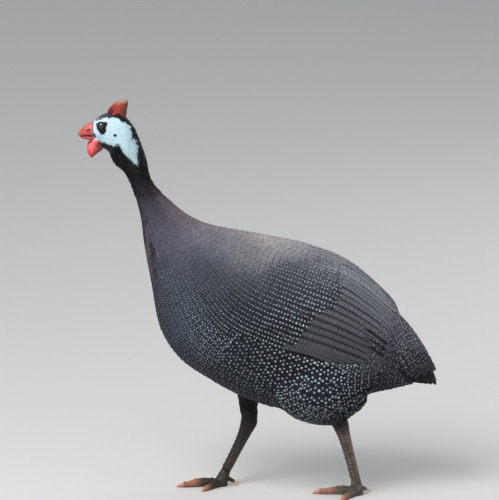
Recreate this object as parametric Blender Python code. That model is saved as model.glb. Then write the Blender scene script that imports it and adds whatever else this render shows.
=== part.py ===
"""A helmeted guinea fowl at life size, standing in mid stride on both feet.

The bird faces -X, its left side is at -Y, and its soles lie on the floor at z = 0. All lengths below are
in millimetres and all angles in degrees. They become metres only where a mesh is made.

The head, neck and torso are one smooth form, a loft through slanted lines that run from the under side
of the bird to its upper side. A place on that form is given as (line, angle): the number of the line,
counted from the bill, and the angle round the body from the middle of the back.
"""

import math
import random

import bmesh
import bpy
import numpy as np

MM = 0.001
GAP = 0.3
LEFT = -1
RIGHT = 1
UPWARDS = (0.0, 0.0, 1.0)

# Each body line: under side x, z, upper side x, z, half width, and how much wider the upper half is.
BODY_LINES = np.array([
    (-194.6, 420.7, -195.7, 441.0, 8.0, 0.00),  # root of the bill
    (-189.5, 414.5, -190.0, 446.5, 9.6, 0.00),
    (-183.5, 411.0, -182.0, 450.5, 11.2, 0.00),  # eye
    (-178.8, 408.0, -172.9, 453.0, 12.2, 0.00),
    (-175.3, 403.5, -160.1, 449.0, 12.4, 0.00),  # ear and back of the casque
    (-172.3, 396.5, -148.9, 436.5, 12.0, 0.00),
    (-168.8, 390.9, -140.2, 417.1, 11.5, 0.00),  # nape and throat
    (-163.6, 387.0, -133.7, 397.5, 11.0, 0.00),
    (-156.5, 379.0, -130.8, 381.0, 10.8, 0.00),
    (-148.9, 361.8, -123.8, 365.3, 11.0, 0.00),
    (-143.7, 343.9, -108.6, 351.1, 13.5, 0.00),  # middle of the neck
    (-139.3, 323.7, -89.9, 334.4, 18.0, 0.00),
    (-136.7, 299.9, -66.5, 321.5, 25.0, 0.00),  # collar
    (-132.0, 272.5, -40.7, 315.3, 34.0, 0.05),
    (-126.1, 240.4, -17.3, 311.2, 44.0, 0.08),
    (-118.4, 196.3, 3.7, 307.0, 55.0, 0.08),  # breast and shoulders
    (-94.9, 159.5, 24.8, 303.1, 63.0, 0.06),
    (-65.3, 139.2, 44.7, 299.3, 68.0, 0.04),
    (-29.0, 117.8, 66.9, 292.4, 70.0, 0.02),
    (8.4, 103.5, 88.0, 284.4, 69.0, 0.00),  # belly and middle of the back
    (45.9, 97.6, 106.7, 273.9, 65.0, 0.00),
    (81.0, 100.0, 125.4, 257.5, 57.0, 0.02),
    (110.2, 110.7, 142.0, 239.0, 47.0, 0.04),
    (131.0, 119.0, 155.0, 224.0, 37.0, 0.06),  # rump and vent
    (149.0, 122.5, 167.0, 202.5, 29.0, 0.05),
    (166.0, 126.5, 175.0, 178.0, 22.0, 0.00),
    (181.0, 130.5, 184.5, 156.0, 14.0, 0.00),
    (192.0, 133.5, 193.5, 143.0, 6.0, 0.00),  # under the tail
])
NECK_TOP = 6.45
NECK_FOOT = 12.6
NECK_CUT = 0.015  # a thin cut, as a share of a line's spacing
TORSO_END = 27.0
TORSO_SIDES = 26
NECK_SIDES = 20
HEAD_SIDES = 22

EYE_PLACE = (-185.4, 438.6)
EYE_RADIUS = 5.2
EYE_OUT = 6.6
LID_OUT = 9.8
LID_LEAN = 14.0
LID_RADIUS = 4.5
LID_THICKNESS = 1.1
LID_SHAPE = (1.12, 1.0, 1.0)
LID_SHIFT = 0.6
EAR_PLACE = (-169.5, 428.0)
EAR_OUT = 12.2
EAR_RADIUS = 2.3
GAPE_Z = 425.6
GAPE_HALF_HEIGHT = 0.3
GAPE_HALF_WIDTH = 12.0
GAPE_SPAN = (-200.0, -188.0)
HEAD_STEPS = 12
NECK_STEPS = 14
TORSO_STEPS = 29

# Upper and lower bill: x, top z, bottom z, half width.
BILL_UPPER = [
    (-195.7, 441.6, 426.2, 6.9),
    (-199.5, 440.6, 426.0, 6.3),
    (-204.0, 437.8, 425.9, 5.3),
    (-208.2, 434.0, 425.7, 3.9),
    (-211.4, 430.2, 425.5, 2.3),
    (-212.6, 427.6, 425.6, 0.9),
]
BILL_LOWER = [
    (-195.4, 425.5, 420.4, 6.1),
    (-199.5, 425.4, 420.9, 5.5),
    (-204.0, 425.2, 421.7, 4.4),
    (-207.6, 425.0, 422.8, 3.0),
    (-210.0, 424.8, 423.8, 1.4),
]
BILL_SIDES = 12
# How square the flat inner side of each half is, across and up.
BILL_CORNERS = (0.55, 0.7)
NOSTRIL_PLACE = (-201.0, 433.4)
NOSTRIL_OUT = 5.4
NOSTRIL_SIZE = (2.0, 1.6, 0.9)

# Casque: front edge x, z, rear edge x, z, half width.
CASQUE_LINES = [
    (-179.6, 448.5, -157.0, 440.0, 6.6),
    (-178.8, 454.5, -156.6, 448.5, 6.2),
    (-176.2, 460.4, -156.2, 455.5, 5.5),
    (-171.2, 465.8, -155.7, 461.6, 4.5),
    (-164.6, 469.2, -155.3, 466.4, 3.3),
    (-159.2, 470.6, -156.2, 469.6, 1.6),
]

CASQUE_STEPS = 10
CASQUE_SIDES = 16
CASQUE_REAR_FULLNESS = 1.15
CASQUE_NARROWING = 0.3

# Left wattle: x, y, z, half length fore and aft, half thickness.
WATTLE_STATIONS = [
    (-189.0, -7.0, 423.5, 4.2, 2.0),
    (-191.4, -8.8, 419.5, 5.6, 1.9),
    (-194.0, -10.6, 414.5, 7.6, 1.9),
    (-195.4, -11.6, 409.6, 7.4, 1.9),
    (-196.6, -11.8, 405.4, 5.2, 1.7),
    (-197.2, -11.6, 402.4, 2.6, 1.2),
]
WATTLE_STEPS = 10
WATTLE_SIDES = 14
WATTLE_SLANT = 0.18

# Wing: body line, upper edge angle, lower edge angle, thickness over the torso.
WING_PLAN = np.array([
    (14.5, 78.0, 94.0, 1.5),
    (14.8, 70.0, 99.0, 5.0),
    (15.4, 60.0, 104.0, 7.6),
    (16.2, 48.0, 106.0, 8.4),
    (17.0, 32.0, 103.0, 8.4),
    (18.0, 16.0, 98.0, 7.2),
    (19.0, 8.0, 97.0, 5.6),
    (20.0, 6.0, 96.0, 3.6),
    (21.0, 7.0, 95.0, 2.2),
    (21.8, 11.0, 92.0, 1.0),
])
WING_RIB_COUNT = 15
WING_RIB_STEPS = 7
WING_ROUNDNESS = 0.45
# A row of vanes: count, first and last root, first and last tip as (line, angle), width, and height of
# the tip over the torso.
TERTIALS = (4, (17.8, 20.0), (17.8, 38.0), (23.2, 10.0), (23.5, 36.0), 15.0, 3.2)
SECONDARIES = (9, (18.0, 46.0), (17.7, 88.0), (23.4, 45.0), (22.9, 100.0), 13.5, 3.6)
PRIMARIES = (3, (18.2, 88.0), (18.2, 92.0), (22.7, 103.0), (22.0, 108.0), 10.0, 2.2)
GREATER_COVERTS = (8, (17.2, 38.0), (16.6, 86.0), (20.0, 36.0), (18.8, 86.0), 13.0, 6.8)
ROOT_DEPTH = 1.3
# The stations of a vane: share of its length, share of its width.
VANE_STATIONS = [(0.0, 0.6), (0.25, 0.86), (0.5, 1.0), (0.75, 1.0), (0.92, 0.8), (1.0, 0.42)]
VANE_THICKNESS = 0.9
VANE_TAPER = 0.35
SHINGLE_RISE = 1.5
VANE_SPACING = 8.0
VANE_BOW = 2.0
TIP_SCATTER = (0.12, 0.6)
EDGE_DEPTH = 0.4
INNER_DEPTH = 3.0

# Tail: the middle and the outermost vane, each as root, bend and tip (x, y, z).
TAIL_MIDDLE = ((150.0, 3.0, 221.0), (184.0, 4.0, 195.0), (210.0, 4.5, 128.5))
TAIL_OUTER = ((138.0, 20.0, 196.0), (164.0, 26.0, 172.0), (178.0, 28.0, 131.0))
TAIL_VANES_A_SIDE = 7
TAIL_VANE_WIDTH = 18.0
TAIL_TILT = 0.2
TAIL_ARCH = 3.0
TAIL_SCATTER = 0.02
TAIL_SIDES = 14
# The tail's core: x, y, z, half width, half depth, and how its rings lean.
TAIL_CORE = [
    (136.0, 0.0, 196.0, 24.0, 18.0),
    (152.0, 0.0, 190.0, 22.0, 17.0),
    (164.0, 0.0, 179.0, 20.0, 13.0),
    (174.0, 0.0, 166.0, 17.0, 9.0),
    (182.0, 0.0, 152.0, 12.0, 5.0),
]
TAIL_LEAN = (0.6, 0.8)

# Legs: the knee is inside the plumage, and the shank runs from the hock to the ankle. A thigh station is
# x, y, z, half depth, half width. The loose feathers behind a thigh are a ball: its middle and half sizes.
LEG_PLANS = {
    "l": {
        "side": LEFT,
        "thigh": [
            (40.0, -34.0, 158.0, 40.0, 26.0),
            (52.0, -37.0, 140.0, 42.0, 30.0),
            (64.0, -37.0, 121.0, 37.0, 28.0),
            (77.0, -33.0, 105.5, 25.0, 20.0),
            (86.0, -27.0, 96.0, 13.0, 12.0),
        ],
        "fluff": ((99.0, -26.0, 119.0), (26.5, 16.0, 21.5)),
        "tibia": (91.5, -23.0, 90.0),
        "hock": (96.0, -20.0, 82.0),
        "ankle": (111.0, -17.6, 20.0),
        "pad": (113.0, -17.0, 5.0),
        "heading": 176.0,
        "splay": (65.0, 36.0),
    },
    "r": {
        "side": RIGHT,
        "thigh": [
            (-8.0, 30.0, 158.0, 36.0, 24.0),
            (-10.0, 33.0, 138.0, 30.0, 24.0),
            (-13.0, 33.0, 120.0, 19.0, 17.0),
            (-14.5, 32.0, 104.0, 12.4, 11.4),
            (-14.2, 31.0, 92.0, 10.8, 10.0),
        ],
        "fluff": ((8.0, 31.0, 121.0), (20.0, 15.0, 17.0)),
        "tibia": (-13.0, 30.5, 80.0),
        "hock": (-14.0, 30.0, 70.0),
        "ankle": (-40.5, 28.4, 19.5),
        "pad": (-47.0, 28.0, 5.0),
        "heading": 190.0,
        "splay": (32.0, 46.0),
    },
}
THIGH_STEPS = 9
THIGH_SIDES = 20
SHANK_RADII = (9.6, 9.4, 7.6, 6.4, 5.8, 5.6)
SHANK_FLATNESS = 0.84
SHANK_SCUTES = 15
SHANK_SIDES = 10
SCUTE_STEP = 0.7
# The foot's block: share of the way down to the pad, half width, half depth.
FOOT_BLOCK = [(0.45, 5.6, 6.4), (0.8, 7.2, 7.6)]
PAD_HALF_WIDTH = 7.0
PAD_HALF_DEPTH = 7.2
PAD_SINK = 2.0
# Each front toe: name, side, length, radius at its root and at its claw.
TOES = [("middle", 0, 44.0, 5.2, 3.4), ("outer", 1, 33.0, 4.6, 3.1), ("inner", -1, 31.0, 4.7, 3.2)]
TOE_SIDES = 10
TOE_STEPS = 9
TOE_PADS = 3
PAD_SWELL = 0.07
TOE_FLATNESS = 0.92
TOE_ARCH = 1.1
TOE_SINK = 0.86
TOE_SCUTE_STEP = 0.35
HALLUX_LENGTH = 11.0
HALLUX_LIFT = 11.0
HALLUX_SPLAY = 24.0
HALLUX_DROP = 0.42
HALLUX_RADII = (3.2, 2.2)
HALLUX_OUT = 2.0
CLAW_LENGTH = 9.0
CLAW_SIDES = 8
CLAW_STATIONS = (0.0, 0.35, 0.7)
CLAW_TAPER = 0.62
CLAW_CURVE = 1.6
CLAW_FIT = 0.72
CLAW_TIP_LIFT = 0.8
HALLUX_CLAW_LENGTH = 6.0

FEATHER_SEED = 11


# Materials and mesh helpers.

def make_material(name, colour, roughness):
    """A plain Principled material."""
    material = bpy.data.materials.new(name)
    material.use_nodes = True
    shader = material.node_tree.nodes["Principled BSDF"]
    shader.inputs["Base Color"].default_value = (*colour, 1.0)
    shader.inputs["Roughness"].default_value = roughness
    shader.inputs["Metallic"].default_value = 0.0
    return material


def make_object(name, points, faces):
    """A mesh object from points in millimetres, with its faces turned outwards."""
    mesh = bpy.data.meshes.new(name)
    mesh.from_pydata([tuple(float(v) * MM for v in point) for point in points], [], faces)
    form = bmesh.new()
    form.from_mesh(mesh)
    bmesh.ops.recalc_face_normals(form, faces=form.faces)
    if form.calc_volume(signed=True) < 0.0:
        bmesh.ops.reverse_faces(form, faces=form.faces)
    form.to_mesh(mesh)
    form.free()
    item = bpy.data.objects.new(name, mesh)
    PARTS.objects.link(item)
    return item


def loft(name, rings, tip=None):
    """A closed skin over rings of points of one count, ending flat, or in a single tip point."""
    sides = len(rings[0])
    points = [point for ring in rings for point in ring]
    faces = [tuple(range(sides))]
    for step in range(len(rings) - 1):
        for side in range(sides):
            after = (side + 1) % sides
            low = step * sides
            faces.append((low + side, low + after, low + sides + after, low + sides + side))
    last = (len(rings) - 1) * sides
    if tip is None:
        faces.append(tuple(range(last, last + sides)))
    else:
        points.append(tip)
        for side in range(sides):
            faces.append((last + side, last + (side + 1) % sides, len(points) - 1))
    return make_object(name, points, faces)


def evaluated_mesh(item):
    """The object's mesh with its modifiers applied."""
    depsgraph = bpy.context.evaluated_depsgraph_get()
    return bpy.data.meshes.new_from_object(item.evaluated_get(depsgraph), depsgraph=depsgraph)


def apply_boolean(item, operation, tools, solver="EXACT"):
    """One Boolean with a collection of closed mesh objects, applied, which uses the tools up."""
    group = bpy.data.collections.new("tools")
    bpy.context.scene.collection.children.link(group)
    for tool in tools:
        group.objects.link(tool)
    boolean = item.modifiers.new("join", "BOOLEAN")
    boolean.operation = operation
    boolean.solver = solver
    boolean.operand_type = "COLLECTION"
    boolean.collection = group
    bpy.context.view_layer.update()
    mesh = evaluated_mesh(item)
    item.modifiers.clear()
    item.data = mesh
    for tool in tools:
        bpy.data.objects.remove(tool)
    bpy.data.collections.remove(group)
    keep_largest(item)


def keep_largest(item):
    """Keeps only the largest closed surface of a mesh."""
    form = bmesh.new()
    form.from_mesh(item.data)
    form.faces.ensure_lookup_table()
    seen = set()
    groups = []
    for face in form.faces:
        if face.index in seen:
            continue
        seen.add(face.index)
        group = [face]
        for member in group:
            for edge in member.edges:
                for other in edge.link_faces:
                    if other.index not in seen:
                        seen.add(other.index)
                        group.append(other)
        groups.append(group)
    groups.sort(key=lambda group: sum(face.calc_area() for face in group))
    loose = [face for group in groups[:-1] for face in group]
    bmesh.ops.delete(form, geom=loose, context="FACES")
    bmesh.ops.dissolve_degenerate(form, dist=2e-6, edges=form.edges)
    bmesh.ops.triangulate(form, faces=form.faces)
    form.to_mesh(item.data)
    form.free()


def grown_copy(item, distance):
    """A copy of a form with its surface moved outwards by a distance."""
    form = bmesh.new()
    form.from_mesh(item.data)
    form.normal_update()
    moves = [vert.normal * (distance * MM * vert.calc_shell_factor()) for vert in form.verts]
    for vert, move in zip(form.verts, moves):
        vert.co += move
    mesh = bpy.data.meshes.new(item.name + "_grown")
    form.to_mesh(mesh)
    form.free()
    copy = bpy.data.objects.new(mesh.name, mesh)
    PARTS.objects.link(copy)
    return copy


def ball(name, centre, radii, segments=14, rings=8):
    """An ellipsoid."""
    bpy.ops.mesh.primitive_uv_sphere_add(segments=segments, ring_count=rings, radius=1.0)
    item = bpy.context.object
    item.name = name
    for vert in item.data.vertices:
        vert.co = tuple(MM * (c + r * v) for c, r, v in zip(centre, radii, vert.co))
    move_to_parts(item)
    return item


def box(name, low, high):
    """A box between two corners."""
    bpy.ops.mesh.primitive_cube_add(size=1.0)
    item = bpy.context.object
    item.name = name
    for vert in item.data.vertices:
        vert.co = tuple(MM * (a + (b - a) * (v + 0.5)) for a, b, v in zip(low, high, vert.co))
    move_to_parts(item)
    return item


def move_to_parts(item):
    """Takes an object out of its collections and into the bird's own."""
    for group in list(item.users_collection):
        group.objects.unlink(item)
    PARTS.objects.link(item)


def finish(item, name, material):
    """Names a finished piece, gives it its material and shades it smooth."""
    item.name = name
    item.data.name = name
    item.data.materials.clear()
    item.data.materials.append(material)
    item.data.shade_smooth()
    item.data.set_sharp_from_angle(angle=math.radians(40.0))


# The body form.

def spline(rows, place):
    """A smooth value between rows, by a Catmull-Rom curve."""
    last = len(rows) - 1
    place = min(max(place, 0.0), last - 1e-9)
    index = int(place)
    t = place - index
    before, start, end, after = (rows[min(max(index + k, 0), last)] for k in (-1, 0, 1, 2))
    return 0.5 * (
        2.0 * start
        + (end - before) * t
        + (2.0 * before - 5.0 * start + 4.0 * end - after) * t * t
        + (3.0 * start - before - 3.0 * end + after) * t ** 3
    )


def stations(rows, steps):
    """Rows at even places along the smooth curve through a short list of rows."""
    rows = np.array(rows)
    return [spline(rows, (len(rows) - 1) * k / steps) for k in range(steps + 1)]


def skin_point(line, angle, side=LEFT):
    """A point of the bare body form."""
    low_x, low_z, top_x, top_z, half_width, upper = spline(BODY_LINES, line)
    turn = math.radians(angle)
    cosine = math.cos(turn)
    return np.array([
        (low_x + top_x) / 2.0 + (top_x - low_x) / 2.0 * cosine,
        side * half_width * math.sin(turn) * (1.0 + upper * cosine),
        (low_z + top_z) / 2.0 + (top_z - low_z) / 2.0 * cosine,
    ])


def skin_normal(line, angle, side=LEFT):
    """The outward direction of the body form."""
    along = skin_point(line + 0.05, angle, side) - skin_point(line - 0.05, angle, side)
    round_it = skin_point(line, angle + 1.0, side) - skin_point(line, angle - 1.0, side)
    normal = np.cross(along, round_it) * side
    return normal / np.linalg.norm(normal)


def over_skin(line, angle, height, side=LEFT):
    """A point at a height over the body form."""
    return skin_point(line, angle, side) + skin_normal(line, angle, side) * height


def body_ring(line, sides):
    """One ring of the body form."""
    return [skin_point(line, 360.0 * k / sides) for k in range(sides)]


def body_length(name, start, end, steps, sides):
    """A length of the body form between two lines, with flat ends."""
    places = [start + (end - start) * k / steps for k in range(steps + 1)]
    return loft(name, [body_ring(place, sides) for place in places])


# Vanes.

def course(points, index):
    """The direction of a chain of points at one of them."""
    way = points[min(index + 1, len(points) - 1)] - points[max(index - 1, 0)]
    return way / np.linalg.norm(way)


def plank(name, centres, sideways, normals, width, tilt):
    """A thin vane that ends in a round tip. Its far edge stands out by the tilt times its width."""
    rings = []
    for centre, across, normal, (share, broad) in zip(centres, sideways, normals, VANE_STATIONS):
        half = across * (broad * width / 2.0)
        rise = normal * (tilt * broad * width / 2.0)
        skin = normal * (VANE_THICKNESS * (1.0 - VANE_TAPER * share) / 2.0)
        rings.append([
            centre - half - rise - skin,
            centre + half + rise - skin,
            centre + half + rise + skin,
            centre - half - rise + skin,
        ])
    return loft(name, rings)


def blend(start, end, share):
    """A value part of the way between two."""
    return start + (end - start) * share


def wing_cover(line, share):
    """How far the wing's fore part stands over the torso, from its upper (0) to its lower edge (1)."""
    thickness = np.interp(line, WING_PLAN[:, 0], WING_PLAN[:, 3])
    bulge = max(math.sin(math.pi * min(max(share, 0.0), 1.0)), 0.0) ** WING_ROUNDNESS
    return (thickness + EDGE_DEPTH) * bulge - EDGE_DEPTH


def cover_at(line, angle):
    """The same at an angle round the body."""
    upper = np.interp(line, WING_PLAN[:, 0], WING_PLAN[:, 1])
    lower = np.interp(line, WING_PLAN[:, 0], WING_PLAN[:, 2])
    return wing_cover(line, (angle - upper) / (lower - upper))


def wing_vane(name, side, root, tip, width, tip_height, spacing):
    """A vane that lies along the body form, with its root sunk in the fore part of the wing."""
    root_height = cover_at(*root) - ROOT_DEPTH
    centres = []
    normals = []
    for share, _ in VANE_STATIONS:
        line = blend(root[0], tip[0], share)
        bow = VANE_BOW * math.sin(math.pi * share)
        angle = blend(root[1], tip[1], share) - bow
        height = blend(root_height, tip_height, share)
        centres.append(over_skin(line, angle, height, side))
        normals.append(skin_normal(line, angle, side))
    sideways = []
    for k, normal in enumerate(normals):
        across = np.cross(normal, course(centres, k)) * side
        sideways.append(across / np.linalg.norm(across))
    return plank(name, centres, sideways, normals, width, SHINGLE_RISE / spacing)


def vane_row(name, side, plan):
    """A row of like vanes, each a little different."""
    count, first_root, last_root, first_tip, last_tip, width, tip_height = plan
    vanes = []
    for k in range(count):
        share = k / (count - 1)
        root = (blend(first_root[0], last_root[0], share), blend(first_root[1], last_root[1], share))
        tip = (
            blend(first_tip[0], last_tip[0], share) + random.uniform(-TIP_SCATTER[0], TIP_SCATTER[0]),
            blend(first_tip[1], last_tip[1], share) + random.uniform(-TIP_SCATTER[1], TIP_SCATTER[1]),
        )
        vanes.append(wing_vane(f"{name}_{k}", side, root, tip, width, tip_height, VANE_SPACING))
    return vanes


# The pieces.

def make_torso():
    """The torso, from the foot of the neck to the root of the tail."""
    return body_length("torso", NECK_FOOT, TORSO_END, TORSO_STEPS, TORSO_SIDES)


def make_neck():
    """The neck, parted from the head and the torso by thin cuts."""
    return body_length("neck", NECK_TOP + NECK_CUT, NECK_FOOT - NECK_CUT, NECK_STEPS, NECK_SIDES)


def make_head(head_form):
    """The head with its lids, eye sockets, ears and the line of the mouth."""
    additions = []
    hollows = []
    for side in (LEFT, RIGHT):
        eye = (EYE_PLACE[0], side * EYE_OUT, EYE_PLACE[1])
        bpy.ops.mesh.primitive_torus_add(
            major_radius=LID_RADIUS * MM, minor_radius=LID_THICKNESS * MM,
            major_segments=16, minor_segments=6,
            rotation=(math.radians(90.0 + side * LID_LEAN), 0.0, math.radians(side * LID_LEAN)),
        )
        lid = bpy.context.object
        lid.scale = LID_SHAPE
        lid.location = tuple(v * MM for v in (eye[0] - LID_SHIFT, side * LID_OUT, eye[2] + LID_SHIFT))
        move_to_parts(lid)
        additions.append(lid)
        hollows.append(ball("socket", eye, [EYE_RADIUS + GAP] * 3))
        hollows.append(ball("ear", (EAR_PLACE[0], side * EAR_OUT, EAR_PLACE[1]), [EAR_RADIUS] * 3, 10, 6))
    hollows.append(box(
        "gape",
        (GAPE_SPAN[0], -GAPE_HALF_WIDTH, GAPE_Z - GAPE_HALF_HEIGHT),
        (GAPE_SPAN[1], GAPE_HALF_WIDTH, GAPE_Z + GAPE_HALF_HEIGHT),
    ))
    apply_boolean(head_form, "UNION", additions)
    apply_boolean(head_form, "DIFFERENCE", hollows)
    return head_form


def bill_half(name, stations):
    """One half of the bill, flat where it meets the other half and domed on the outside."""
    top_is_flat = stations is BILL_LOWER
    rings = []
    for x, top, bottom, half_width in stations:
        ring = []
        for k in range(BILL_SIDES):
            turn = 2.0 * math.pi * k / BILL_SIDES
            up = math.cos(turn)
            out = math.sin(turn)
            flat = up > 0.0 if top_is_flat else up < 0.0
            if flat:
                out = math.copysign(abs(out) ** BILL_CORNERS[0], out)
                up = math.copysign(abs(up) ** BILL_CORNERS[1], up)
            z = (top + bottom) / 2.0 + (top - bottom) / 2.0 * up
            ring.append(np.array([x - GAP, half_width * out, z]))
        rings.append(ring)
    return loft(name, rings)


def make_bill_upper():
    """The upper bill with its nostrils."""
    bill = bill_half("bill_upper", BILL_UPPER)
    nostrils = [
        ball("nostril", (NOSTRIL_PLACE[0], side * NOSTRIL_OUT, NOSTRIL_PLACE[1]), NOSTRIL_SIZE, 10, 6)
        for side in (LEFT, RIGHT)
    ]
    apply_boolean(bill, "DIFFERENCE", nostrils)
    return bill


def make_casque(head_form):
    """The bony helmet, set on the crown."""
    rings = []
    for front_x, front_z, rear_x, rear_z, half_width in stations(CASQUE_LINES, CASQUE_STEPS):
        ring = []
        for k in range(CASQUE_SIDES):
            turn = 2.0 * math.pi * k / CASQUE_SIDES
            share = (1.0 - math.cos(turn)) / 2.0
            out = math.sin(turn) * (CASQUE_REAR_FULLNESS - CASQUE_NARROWING * share)
            ring.append(np.array([
                blend(rear_x, front_x, share), half_width * out, blend(rear_z, front_z, share),
            ]))
        rings.append(ring)
    casque = loft("casque", rings)
    apply_boolean(casque, "DIFFERENCE", [grown_copy(head_form, GAP)])
    return casque


def make_wattle(side, head_form):
    """A fleshy wattle that hangs from the gape."""
    rings = []
    for x, y, z, half_length, half_thickness in stations(WATTLE_STATIONS, WATTLE_STEPS):
        ring = []
        for k in range(WATTLE_SIDES):
            turn = 2.0 * math.pi * k / WATTLE_SIDES
            ring.append(np.array([
                x + half_length * math.cos(turn),
                -side * y + half_thickness * math.sin(turn),
                z - WATTLE_SLANT * half_length * math.cos(turn),
            ]))
        rings.append(ring)
    wattle = loft("wattle", rings)
    apply_boolean(wattle, "DIFFERENCE", [grown_copy(head_form, GAP)])
    return wattle


def make_wing(side, torso):
    """A folded wing: the covert-clad fore part and the tiers of vanes that lie over it."""
    rings = []
    for line, upper, lower, _ in stations(WING_PLAN, WING_RIB_COUNT - 1):
        outer = []
        inner = []
        for k in range(WING_RIB_STEPS + 1):
            share = k / WING_RIB_STEPS
            angle = blend(upper, lower, share)
            outer.append(over_skin(line, angle, wing_cover(line, share), side))
            inner.append(over_skin(line, angle, -INNER_DEPTH, side))
        rings.append(outer + inner[::-1])
    wing = loft("wing", rings)
    vanes = []
    for name, plan in (
        ("primary", PRIMARIES),
        ("secondary", SECONDARIES),
        ("tertial", TERTIALS),
        ("covert", GREATER_COVERTS),
    ):
        vanes += vane_row(name, side, plan)
    apply_boolean(wing, "UNION", vanes)
    apply_boolean(wing, "DIFFERENCE", [grown_copy(torso, GAP)])
    return wing


def bend(points, share):
    """A point on the curve through a root and a tip that is drawn towards a bend."""
    root, middle, tip = (np.array(point) for point in points)
    return root * (1 - share) ** 2 + middle * (2 * share * (1 - share)) + tip * share ** 2


def tail_point(across, share, side):
    """A point of the roof-shaped tail, from its middle (0) to its outermost vane (1)."""
    point = blend(bend(TAIL_MIDDLE, share), bend(TAIL_OUTER, share), across)
    arch = TAIL_ARCH * math.sin(math.pi * across)
    return np.array([point[0] + arch, side * point[1], point[2] + 0.4 * arch])


def make_tail(torso):
    """The short drooping tail, its vanes laid like tiles on each side of the middle pair."""
    rings = []
    for x, y, z, half_width, half_depth in TAIL_CORE:
        ring = []
        for k in range(TAIL_SIDES):
            turn = 2.0 * math.pi * k / TAIL_SIDES
            deep = half_depth * math.cos(turn)
            ring.append(np.array([
                x + TAIL_LEAN[0] * deep, y + half_width * math.sin(turn), z + TAIL_LEAN[1] * deep,
            ]))
        rings.append(ring)
    tail = loft("tail", rings)
    vanes = []
    for side in (LEFT, RIGHT):
        for k in range(TAIL_VANES_A_SIDE):
            across = k / (TAIL_VANES_A_SIDE - 1)
            length = 1.0 - random.uniform(0.0, TAIL_SCATTER)
            centres = [tail_point(across, share * length, side) for share, _ in VANE_STATIONS]
            sideways = []
            normals = []
            for j, (share, _) in enumerate(VANE_STATIONS):
                edge = tail_point(across + 0.05, share, side) - tail_point(across - 0.05, share, side)
                along = course(centres, j)
                edge = edge - along * np.dot(edge, along)
                edge = edge / np.linalg.norm(edge)
                sideways.append(edge)
                normals.append(np.cross(edge, along) * -side)
            vanes.append(plank(f"rectrix_{k}", centres, sideways, normals, TAIL_VANE_WIDTH, TAIL_TILT))
    apply_boolean(tail, "UNION", vanes)
    apply_boolean(tail, "DIFFERENCE", [grown_copy(torso, GAP)])
    return tail


def tube_ring(centre, direction, radius_wide, radius_deep, sides, forward=(-1.0, 0.0, 0.0)):
    """A ring of points square to a direction. Its first point lies on the forward side."""
    direction = np.array(direction) / np.linalg.norm(direction)
    front = np.array(forward) - direction * np.dot(forward, direction)
    front = front / np.linalg.norm(front)
    flank = np.cross(direction, front)
    return [
        np.array(centre)
        + front * (radius_deep * math.cos(2.0 * math.pi * k / sides))
        + flank * (radius_wide * math.sin(2.0 * math.pi * k / sides))
        for k in range(sides)
    ]


def make_thigh(plan, torso):
    """The feathered thigh, which comes out of the flank and ends above the hock."""
    course_of_thigh = stations(plan["thigh"], THIGH_STEPS)
    middle = [station[:3] for station in course_of_thigh]
    end = np.array(plan["tibia"])
    down = shank_centre(plan, 0.02) - end
    down = down / np.linalg.norm(down)
    rings = []
    for k, (x, y, z, deep, wide) in enumerate(course_of_thigh):
        rings.append(tube_ring((x, y, z), course(middle, k), wide, deep, THIGH_SIDES))
    rings.append(tube_ring(end - down * GAP, down, SHANK_RADII[0], SHANK_RADII[0] * 1.04, THIGH_SIDES))
    thigh = loft("thigh", rings)
    apply_boolean(thigh, "UNION", [ball("fluff", *plan["fluff"])])
    apply_boolean(thigh, "DIFFERENCE", [grown_copy(torso, GAP)])
    return thigh


def shank_centre(plan, share):
    """A point of the shank's middle line, which bends at the hock."""
    return bend((plan["tibia"], plan["hock"], plan["ankle"]), share)


def make_shank(plan):
    """The bare shank, with a row of raised scutes down its front."""
    rings = []
    steps = SHANK_SCUTES * 2
    for k in range(steps + 1):
        share = k / steps
        centre = shank_centre(plan, share)
        direction = shank_centre(plan, min(share + 0.02, 1.0)) - shank_centre(plan, max(share - 0.02, 0.0))
        radius = float(spline(np.array(SHANK_RADII), share * (len(SHANK_RADII) - 1)))
        ring = tube_ring(centre, direction, radius * SHANK_FLATNESS, radius, SHANK_SIDES)
        if k % 2 == 1:
            for m, point in enumerate(ring):
                facing = max(0.0, math.cos(2.0 * math.pi * m / SHANK_SIDES))
                ring[m] = centre + (point - centre) * (1.0 + SCUTE_STEP * facing / radius)
        rings.append(ring)
    return loft("shank", rings)


def toe_course(plan, toe):
    """The middle line and radii of a toe, from inside the pad to where its claw begins."""
    _, turn, length, root_radius, end_radius = toe
    splay = {1: plan["splay"][0], -1: -plan["splay"][1], 0: 0.0}[turn]
    heading = math.radians(plan["heading"] - plan["side"] * splay)
    direction = np.array([math.cos(heading), math.sin(heading), 0.0])
    pad = np.array(plan["pad"])
    centres = []
    radii = []
    for k in range(TOE_STEPS + 1):
        share = k / TOE_STEPS
        swell = 1.0 + PAD_SWELL * math.cos(2.0 * math.pi * share * TOE_PADS)
        radius = blend(root_radius, end_radius, share) * swell
        centre = pad + direction * (length * share)
        centre[2] = radius * TOE_SINK + TOE_ARCH * math.sin(math.pi * share)
        centres.append(centre)
        radii.append(radius)
    return centres, radii, direction


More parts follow.
